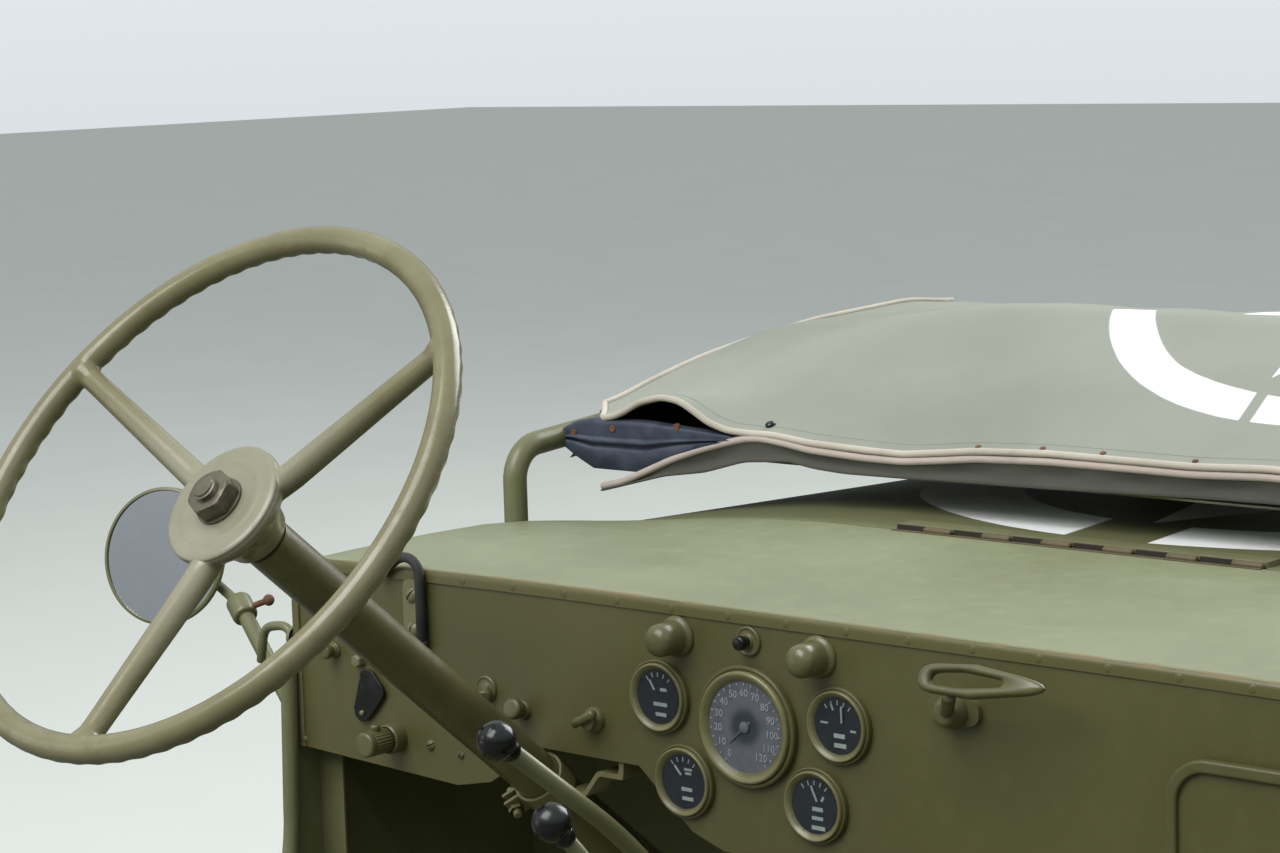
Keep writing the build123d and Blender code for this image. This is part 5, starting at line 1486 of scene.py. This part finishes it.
def slotted_screw(shape: Shape, at: Point, radius: float, height: float, angle: float) -> None:
    """Adds a domed screw head with a slot pressed across it.

    The head's height falls with the square of the distance from its middle, less the slot's depth
    where the distance across the slot is under its half width.

    Args:
        shape: what the head is added to.
        at: middle of its seat.
        radius: radius of the head.
        height: height of its dome.
        angle: direction of the slot, in degrees.
    """
    r = np.linspace(0.0, 1.0, 12)[::-1, None]
    t = np.linspace(0, 2 * np.pi, 49)[None, :-1]
    x, z = radius * r * np.cos(t), radius * r * np.sin(t)
    a = math.radians(angle)
    across = np.abs(-x * math.sin(a) + z * math.cos(a))
    slot = np.clip((0.17 * radius - across) / (0.05 * radius), 0.0, 1.0)
    lift = height * (1 - r ** 3) * np.ones_like(t) - 0.45 * height * slot * (r < 0.97)
    shape.grid(np.stack([at[0] + x, at[1] - lift, at[2] + z], -1), around=True)


class SideFittings:
    """Mirror's arm with its thumb screw, and the rope hook on the left side."""

    foot, bend, end = (-608.0, 8.0, 447.0), (-722.0, 51.0, 520.0), (-813.0, 68.0, 552.0)
    hook = ((-600.5, 6, 510), (-611, 6, 521), (-639, 6, 516), (-645, 6, 484))

    def build(self, finishes: Finishes) -> None:
        """Builds the fittings."""
        self._arm(finishes)
        self._hook(finishes)

    def _arm(self, finishes: Finishes) -> None:
        """Rod with a wider clamp collar at its bend and a thumb screw through it."""
        foot, bend, end = self.foot, self.bend, self.end
        shape = Shape().tube([(x, 12.0, 449.0) for x in (-597.5, -604.0, -611.0)], 11.0, 24)
        shape.tube(np.linspace(foot, bend, 8), 7.0, 20)
        shape.tube(np.linspace(bend, end, 8), 4.5, 16)
        way = np.array(bend) - np.array(foot)
        length = float(np.linalg.norm(way))
        shape.turned(rounded([(6, -19), (10.5, -18), (11.5, -15), (11.5, 3), (10, 5), (5, 6),
                              (0, 6.2)], 1.6, 4), bend, tuple(way / length), 32)
        shape.turned(rounded([(0.01, -3.2), (15, -3.2), (17, -0.4), (15, 0.0), (0.01, 0)], 1.0, 3),
                     (-597.0, 18.0, 447.0), OUTWARD, 32)
        shape.build("mirror_arm_rod", finishes.olive, smooth=50.0, closed=False,
                    replaces=("mirror_arm",))
        screw = Shape()
        side = np.array([0.75, 0.3, 0.3]) / 0.86
        start = np.array(bend) - way / length * 8.0
        screw.tube([start + n * side for n in (6.0, 12.0, 20.0, 27.0)], 2.8, 14)
        screw.turned([(5.2 * math.sin(a) + 0.001, 28.0 - 5.2 * math.cos(a))
                      for a in np.linspace(0.0, np.pi, 14)], start, side, 20)
        screw.build("thumb_screw", finishes.rust, smooth=50.0, closed=False)

    def _hook(self, finishes: Finishes) -> None:
        """Bent rod: out of its pad, over and down."""
        shape = Shape().tube(rounded(self.hook, 11.0, 6), 4.0, 16)
        shape.turned(rounded([(10, 0), (10, 3.6), (8.5, 4.8), (0, 4.8)], 0.8, 3),
                     (-597.0, 6.0, 512.0), OUTWARD, 28)
        shape.build("rope_hook_rod", finishes.olive, smooth=50.0, closed=False,
                    replaces=("rope_hook",))


@dataclass
class HingeLooks:
    """Butt hinge of the bonnet: raised leaf, and knuckles with a dark gap beside each, a near-black
    plate of painted shadow.
    """

    half: float = 172.0
    knuckles: int = 12
    joint: float = 287.0
    top: float = 602.0
    leaf: tuple[float, float] = (290.6, 312.0)
    leaf_rise: float = 4.4
    gap: float = 0.7
    foot: tuple[float, float] = (281.0, 293.0)
    sunk: float = -0.6

    def build(self, finishes: Finishes) -> None:
        """Builds the raised rear leaf, the knuckles, and near-black plates of painted shadow in the
        gaps between them and along the hinge's foot.
        """
        leaf, dark, brown = Shape(), Shape(), Shape()
        plane = ((0, 0, self.top), RIGHT, AHEAD, self.sunk)
        outline = self._box(-self.half, self.half, *self.leaf)
        leaf.plate(rounded(outline + outline[:1], 3.0, 3)[:-1], *plane, self.leaf_rise)
        pitch = 2 * self.half / self.knuckles
        for i in range(self.knuckles):
            start = -self.half + i * pitch + self.gap
            end = start + pitch - 2 * self.gap
            if i % 2:
                at = np.linspace(start, end, 5)
                path = np.stack([at, 0 * at + self.joint, 0 * at + self.top + 1.4], -1)
                brown.tube(path, 2.9, 18)
            else:
                # Painted shadow: a near-black plate fills each gap beside a knuckle, and a strip
                # runs along the hinge's foot.
                dark.plate(self._box(start, end, 288.4, 290.7), *plane, 3.9)
            dark.plate(self._box(start, end, *self.foot), *plane, 0.4)
        brown.tube(np.linspace((-self.half, 281.4, self.top + 0.3),
                               (self.half, 281.4, self.top + 0.3), 40), 0.8, 8)
        leaf.build("hinge_leaves", finishes.olive, smooth=45.0, bevel=0.3, closed=False,
                   replaces=("bonnet_hinge",))
        dark.build("hinge_gaps", finishes.slot, smooth=45.0, closed=False)
        brown.build("hinge_knuckles", finishes.knuckle, smooth=45.0, closed=False)

    @staticmethod
    def _box(left: float, right: float, rear: float, front: float) -> list[tuple[float, float]]:
        """Corners of a rectangle in plan, anticlockwise from its left rear."""
        return [(left, rear), (right, rear), (right, front), (left, front)]


def screen(x: np.ndarray | float, distance: np.ndarray | float,
           lift: np.ndarray | float) -> np.ndarray:
    """Places over the folded windscreen's plane, which slopes up at 4.2 degrees.

    Args:
        x: places across the car.
        distance: distances forward of the lower bar.
        lift: heights over the plane.

    Returns:
        X, Y and Z in the last axis.
    """
    x, distance, lift = np.broadcast_arrays(x, distance, lift)
    (y, z), cos, sin = SCREEN_FOOT, math.cos(SCREEN_SLOPE), math.sin(SCREEN_SLOPE)
    return np.stack([x, y + distance * cos - lift * sin, z + distance * sin + lift * cos], -1)


@dataclass
class CoverLooks:
    """Canvas bag over the folded windscreen: tented top sheet, bands, hems and piping."""

    half: float = 632.0
    end: float = 639.0
    lip: float = -20.5
    under: float = -28.0
    side_start: float = 12.0
    wall: float = 1.6
    fullness: float = 3.8
    smoothing: float = 18.0
    cord: float = 3.0
    snap: float = -370.7
    stud_way: Point = (0.0, -0.35, 0.94)
    studs: tuple[float, ...] = (-141.7, -77.2, -19.2, 66.4)
    table: tuple[tuple[float, float, float], ...] = (
        (-27.0, 15.0, 17.0), (0.0, 15.0, 27.0), (90.0, 18.0, 60.0), (215.0, 33.0, 101.0),
        (300.0, 38.0, 86.0), (400.0, 40.0, 65.0), (560.0, 34.0, 36.0), (639.0, 20.0, 20.0))
    corner: tuple[tuple[float, float], ...] = (
        (355, 79), (382, 78.6), (408, 79.6), (429, 85.4), (445, 94.7), (461, 103), (483, 105.3),
        (510, 99), (530, 88.3), (545, 83), (575, 79), (600, 78.5), (632, 80.5))
    hem_line: tuple[tuple[float, float], ...] = (
        (-335, 76.9), (-315, 74.7), (-250, 72.5), (-214, 72), (-175, 76), (-139, 80), (-67, 83.2),
        (3, 82.8), (70, 82.5), (134, 85.6), (220, 84), (300, 80))
    flap_corner: tuple[tuple[float, float], ...] = (
        (369, 75.5), (387, 74), (408, 69), (441, 60), (474, 49), (505, 36), (533, 24.5), (560, 18))
    flap_line: tuple[tuple[float, float], ...] = (
        (-343, 73), (-315, 69), (-255, 66.3), (-214, 66.2), (-175, 70), (-140, 73.9), (-68, 76.9),
        (1, 76.9), (68, 76.5), (133, 79.4), (220, 78), (300, 72))
    low_corner: tuple[tuple[float, float], ...] = (
        (277, 51), (310, 53), (337, 57), (388, 53), (435, 40), (483, 33), (557, 14), (560, 13))
    low_line: tuple[tuple[float, float], ...] = (
        (-213, 51.5), (-110, 53.6), (-13, 55.6), (79, 58), (150, 59), (220, 56))

    def lift(self, x: np.ndarray, distance: np.ndarray) -> np.ndarray:
        """Lift of the tented sheet: the middle's, less a high power of the share to the side."""
        places, *levels = np.array(self.table).T
        side, middle = (smoothed(distance, places, level, self.smoothing) for level in levels)
        return middle - (middle - side) * np.abs(x / self.half) ** self.fullness

    def folds(self, x: np.ndarray, distance: np.ndarray) -> np.ndarray:
        """Soft slanting folds: sine waves of three directions, fading at the hem and the edges."""
        fade = np.clip((distance - 5) / 120, 0, 1) * np.clip((self.half - np.abs(x)) / 90, 0, 1)
        wave = (2.6 * np.sin(x / 61.0 + distance / 46.0 + 0.6 * np.sin(distance / 80.0))
                + 1.8 * np.sin(x / 37.0 - distance / 52.0 + 1.3)
                + 1.2 * np.sin(x / 90.0 - distance / 23.0 + 0.5 * np.sin(x / 70.0)))
        return fade * wave

    def edge(self, x: np.ndarray) -> tuple[np.ndarray, np.ndarray]:
        """Front edge of the top sheet: distance and lift, with the lifted lip at each corner.

        Args:
            x: places across the car.

        Returns:
            Distances and lifts along the front hem.
        """
        distance = np.interp(np.abs(x), [0, 554, 575, 600, 632], [self.lip, self.lip, 0, 30, 66])
        above = across(x, self.corner, self.hem_line)
        return distance, above - SCREEN_RISE - math.sin(SCREEN_SLOPE) * distance

    def build(self, finishes: Finishes) -> None:
        """Builds the bag, its stitches, pipings, studs and front band."""
        self._bag(finishes)
        self._stitches(finishes)
        self._pipings(finishes)
        self._studs(finishes)
        self._front_band(finishes)

    def top(self, x: np.ndarray, share: np.ndarray) -> np.ndarray:
        """Top sheet: from the front hem at share 0 to the far edge at share 1.

        Args:
            x: places across the car.
            share: shares of the way forward.

        Returns:
            Places in the last axis.
        """
        start, hem = self.edge(x)
        distance = start + (self.end - start) * share
        body = self.lift(x, distance) + self.folds(x, distance)
        base = self.lift(x, start)
        near = np.exp(-((distance - start) / 55.0) ** 2)
        return screen(x, distance, body + (hem - base) * near)

    def _bag(self, finishes: Finishes) -> None:
        """Top sheet, far and side bands and the flat underside, one wall of cloth."""
        u = np.linspace(-1.0, 1.0, 221)
        x = self.half * np.sin(u * np.pi / 2) * 0.25 + self.half * u * 0.75
        share = np.linspace(0.0, 1.0, 120) ** 1.15
        points = self.top(*np.meshgrid(x, share))
        piece = Shape().grid(points).build(
            "cover_top", finishes.marked_canvas, "windscreen", 60.0, wall=self.wall, closed=False,
            replaces=("windscreen_cover",))
        facing_up(piece.data)
        band, far_end = Shape(), self.end - 4.0
        for column in (0, -1):
            side = x[column]
            lower = screen(side, np.linspace(self.side_start, self.end, len(share)), self.under)
            t = np.linspace(0, 1, 8)[:, None, None]
            bulge = 1.6 * np.sin(np.pi * t) * np.array([np.sign(side), 0.0, 0.0])
            band.grid(points[:, column][None] * (1 - t) + lower[None] * t - bulge)
        t = np.linspace(0, 1, 6)[:, None, None]
        band.grid(points[-1][None] * (1 - t) + screen(x, far_end, self.under)[None] * t)
        under_x, under_d = np.meshgrid(np.linspace(-self.half, self.half, 61),
                                       np.linspace(-18.0, far_end, 60))
        start = np.where(np.abs(under_x) > 400, np.maximum(under_d, self.side_start), under_d)
        band.grid(screen(under_x, start, np.interp(under_d, [-27, 0, 45, 90, 650],
                                                   [-3.0, -8.0, -15.0, -24.0, self.under])))
        band.build("cover_bands", finishes.canvas, "windscreen", 60.0, closed=False)

    def _pipings(self, finishes: Finishes) -> None:
        """Cords sewn along the front hem and up both sides."""
        x = np.linspace(-self.half, self.half, 300)
        shape = Shape().tube(self.top(x, 0 * x) + np.array([0, 1.0, 0.5]), self.cord, 12)
        share = np.linspace(0.0, 1.0, 90)
        for side in (-1, 1):
            path = self.top(np.full_like(share, side * self.half), share)
            shape.tube(path + np.array([side * 0.5, 0, 1.0]), self.cord, 12)
        shape.build("cover_piping", finishes.piping, "windscreen", 60.0, closed=False)

    def _studs(self, finishes: Finishes) -> None:
        """Small studs along the front hem, and the snap near its left corner."""
        brown, black = Shape(), Shape()
        for px in self.studs:
            at = self.top(np.array([px]), np.array([0.0]))[0] + np.array([0, 9.0, 3.4])
            brown.turned([(2.8, -0.5), (2.6, 0.8), (1.4, 1.5), (0, 1.5)], at, self.stud_way, 16)
        at = self.top(np.array([self.snap]), np.array([0.0]))[0] + np.array([0, 17.0, 6.4])
        black.turned(rounded([(4.6, -1.0), (4.6, 2.0), (3.0, 3.4), (0, 3.4)], 0.8, 3), at,
                     self.stud_way, 20)
        brown.build("cover_studs", finishes.rust, "windscreen", 50.0, closed=False)
        black.build("cover_snap", finishes.gloss, "windscreen", 50.0, closed=False)

    def _stitches(self, finishes: Finishes) -> None:
        """Fine raised thread along the front hem, and inside the side pipings."""
        shape = Shape()
        x = np.linspace(-self.half + 14, self.half - 14, 260)
        share = 16.0 / (self.end - self.lip)
        shape.tube(self.top(x, 0 * x + share), 0.4, 6)
        along = np.linspace(0.02, 0.98, 120)
        for side in (-1, 1):
            path = self.top(np.full_like(along, side * (self.half - 8.0)), along)
            shape.tube(path, 0.4, 6)
        shape.build("cover_stitches", finishes.canvas, "windscreen", 60.0)

    def _front_band(self, finishes: Finishes) -> None:
        """Canvas band under the hem with its own piping; its corners hang below the seal. Its dark
        cloth is painted shade.
        """
        x = np.linspace(-560.0, 560.0, 320)
        upper = across(x, self.flap_corner, self.flap_line)
        lower = across(x, self.low_corner, self.low_line)
        s = np.linspace(0.0, 1.0, 9)[:, None]
        crease = 1.3 * np.sin(x / 17.0 + 2.0 * np.sin(x / 90.0)) * np.sin(np.pi * s) ** 2
        y = 353.6 + 4.6 * np.sin(np.pi * s) ** 0.8 + 0.7 * (1 + np.sin(x / 41.0)) * s + crease
        z = HEM + upper * (1 - s) + lower * s
        points = np.stack([np.broadcast_to(x, z.shape), np.maximum(y, 353.4), z], -1)
        Shape().grid(points).build("cover_front_band", finishes.band_cloth, "windscreen", 60.0,
                                   wall=self.wall, closed=False)
        Shape().tube(points[0] + np.array([0, 1.6, 0.0]), 3.3, 12).build(
            "cover_band_piping", finishes.seam_cloth, "windscreen", 60.0)


def across(x: np.ndarray, corner: Sequence[tuple[float, float]],
           middle: Sequence[tuple[float, float]]) -> np.ndarray:
    """Heights along a line across the car, alike at both corners.

    Args:
        x: places across the car.
        corner: distances from the middle of the car and heights, for both corners.
        middle: places and heights between the corners.

    Returns:
        One height for each place, smoothed over a few millimetres.
    """
    knots = np.array([(-a, b) for a, b in corner[::-1]] + list(middle) + list(corner))
    return smoothed(x, *knots.T, 7.0)


@dataclass
class SealLooks:
    """Rubber seal along the lower bar: a flange, a groove and a rounded lower lip."""

    reach: float = 607.0
    end_x: float = 396.0
    flap_end: float = 556.0
    screw_y: float = 354.2
    lifts: tuple[tuple[float, float, float], ...] = (
        (396, -8, 13), (408, -10, 15), (435, -12, 17), (470, -20, 19), (510, -28, 21),
        (571, -28, 20), (592, -18, 16), (607, -9, 9))
    screws: tuple[tuple[float, float], ...] = ((592.6, 65.9), (543.6, 72.9), (465.8, 79.3))
    profile: tuple[tuple[float, float], ...] = (
        (-11.3, 1.0), (-18.5, 1.0), (-20.5, 0.97), (-21.0, 0.90), (-20.6, 0.66), (-22.8, 0.63),
        (-23.6, 0.59), (-23.0, 0.55), (-19.6, 0.52), (-19.4, 0.48), (-22.4, 0.45), (-23.4, 0.41),
        (-22.6, 0.12), (-20.5, 0.03), (-11.3, 0.0))

    def build(self, finishes: Finishes) -> None:
        """Builds the seal's two ends in view: flange, ridge and lower lip; then its screws."""
        shape, (places, lows, highs) = Shape(), np.array(self.lifts).T
        section = np.array(self.profile)
        flap = CoverLooks()
        for side in (-1.0, 1.0):
            away = np.linspace(self.end_x, self.reach, 60)
            hidden = across(side * away, flap.flap_corner, flap.flap_line) - SCREEN_RISE - 1.3
            low, high = np.interp(away, places, lows), np.interp(away, places, highs)
            low = np.where(away < self.flap_end, np.maximum(low, hidden), low)
            wave = 0.5 * np.sin(away / 19.0)[:, None]
            lift = low[:, None] + (high - low)[:, None] * section[None, :, 1]
            grid = screen(side * away[:, None], section[None, :, 0] + wave, lift)
            ends = grid.mean(axis=1, keepdims=True)
            shape.grid(np.concatenate([np.broadcast_to(ends[:1], grid[:1].shape), grid,
                                       np.broadcast_to(ends[-1:], grid[-1:].shape)]), around=True)
        shape.build("lower_seal", finishes.rubber, "windscreen", 55.0,
                    replaces=("windscreen_seal",))
        heads = Shape()
        for away, above in self.screws:
            for side in (-1, 1):
                heads.turned([(3.6, -1.6), (3.2, 0.8), (2.2, 1.2), (1.4, 0.8), (0, 0.8)],
                             (side * away, self.screw_y, HEM + above), REARWARD, 16)
        heads.build("seal_screws", finishes.rust, "windscreen", 50.0, closed=False)


class Levers:
    """Gear and transfer levers with their gloss balls, and pleated boots."""

    routes = (
        ("gear_lever", ((-35, -30, 110), (-35, -30, 200), (-45, -80, 330), (-62, -160, 448),
                        (-70, -292, 552)), 6.5, 13.5),
        ("transfer_lever_a", ((22, -95, 110), (22, -95, 200), (12, -150, 320), (0, -210, 400),
                              (-24, -290, 503)), 5.5, 13.5),
        ("transfer_lever_b", ((66, -95, 110), (66, -95, 190), (60, -135, 270), (50, -180, 330),
                              (30, -246, 418)), 5.5, 13.5),
    )
    feet = ((-35.0, -30.0, 34.0, 6.5), (22.0, -95.0, 22.0, 5.5), (66.0, -95.0, 22.0, 5.5))

    def build(self, finishes: Finishes) -> None:
        """Builds stems, balls and boots."""
        for name, points, stem, ball in self.routes:
            path = rounded(points, 60.0, 10)
            replaced = {"gear_lever": ("gear_lever",), "transfer_lever_a": ("transfer_levers",)}
            Shape().tube(path, stem, 18).build(f"{name}_stem", finishes.olive, smooth=60.0,
                                               replaces=replaced.get(name, ()))
            end, way = path[-1], path[-1] - path[-3]
            way = way / np.linalg.norm(way)
            a = np.linspace(0.0, np.pi, 22)[1:-1]
            profile = [(0.01, -13.4)] + [(ball * math.sin(t), -ball * math.cos(t)) for t in a]
            knob = Shape().turned(profile + [(0.01, 13.0)], tuple(end), tuple(way), 40)
            knob.turned(rounded([(6.2, -19), (8.0, -16), (8.0, -11), (6.0, -9)], 1.0, 3),
                        tuple(end), tuple(way), 28)
            knob.build(f"{name}_ball", finishes.gloss, smooth=60.0, closed=False)
        boots = Shape()
        for x, y, radius, stem in self.feet:
            t = np.linspace(0.0, 1.0, 40)
            wide = radius - 3 + (stem + 3.0 - radius) * t ** 0.8
            wide = wide + 1.4 * np.cos(2 * np.pi * 5 * t) * (1 - t)
            profile = np.vstack([[(radius, 0.0), (radius, 3.0), (radius - 1, 4.0)],
                                 np.stack([wide, 4.2 + 29.0 * t], -1), [(stem, 33.8)]])
            boots.turned(profile, (x, y, 135.0), UP, 48)
        boots.build("lever_gaiters", finishes.boot, smooth=60.0, closed=False,
                    replaces=("lever_boots",))


class Carried:
    """CAD nodes that stay in their own shape, with softened edges and their finishes."""

    def build(self, frame: dict, finishes: Finishes) -> None:
        """Softens and dresses every node that no other piece replaces.

        Args:
            finishes: the finishes.
        """
        f = finishes
        table = {
            "dash_panel": (f.dash, 0.5), "bulkhead": (f.olive, 0.5), "toe_board": (f.olive, 0.5),
            "side_panel_left": (f.olive, 0.7), "side_panel_right": (f.olive, 0.7),
            "front_floor": (f.olive, 0.8), "tunnel_cover": (f.olive, 0.6),
            "floor_channels": (f.olive, 0.8), "bonnet": (f.bonnet, 0.7),
            "bonnet_rest_blocks": (f.wood, 1.6), "windscreen_frame": (f.olive, 0.5),
            "windscreen_inner_frame": (f.olive, 0.8), "windscreen_bracket_left": (f.olive, 0.9),
            "windscreen_bracket_right": (f.olive, 0.9), "glovebox_shell": (f.dash, 0.5),
            "glovebox_lid": (f.dash, 0.6), "lid_hinges": (f.dash, 0.4),
            "steering_column": (f.column, 0.6), "steering_box": (f.casting, 1.5),
            "drop_arm": (f.casting, 1.2), "mirror_head": (f.olive, 0.5),
        }
        listed = frame["record"]["behaviour"]["bodies"]
        bodies = {node: body for body, nodes in listed.items() for node in nodes}
        for name, (material, bevel) in table.items():
            softened(frame["nodes"][name], bodies[name], material, bevel)
        for name, material in (("windscreen_glass", f.glass), ("gauge_glasses", f.dial_glass),
                               ("mirror_glass", f.mirror)):
            dress(frame["nodes"][name], material)


def dress(node: bpy.types.Object, material: bpy.types.Material) -> None:
    """Gives a node one material."""
    for place in node.material_slots:
        place.material = material
    if not node.material_slots:
        node.data.materials.append(material)


def main() -> None:
    """Builds the whole scene in order."""
    logging.basicConfig(level=logging.INFO)
    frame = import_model()
    PhotoView().build()
    Studio().build()
    finishes = Finishes()
    for node in frame["nodes"].values():
        dress(node, finishes.olive)
    Carried().build(frame, finishes)
    for part in (Cowl(), WheelLooks(), Instruments(), Controls(), SideFittings(), HingeLooks(),
                 SealLooks(), CoverLooks(), Levers()):
        part.build(finishes)


if __name__ == "__main__":
    main()
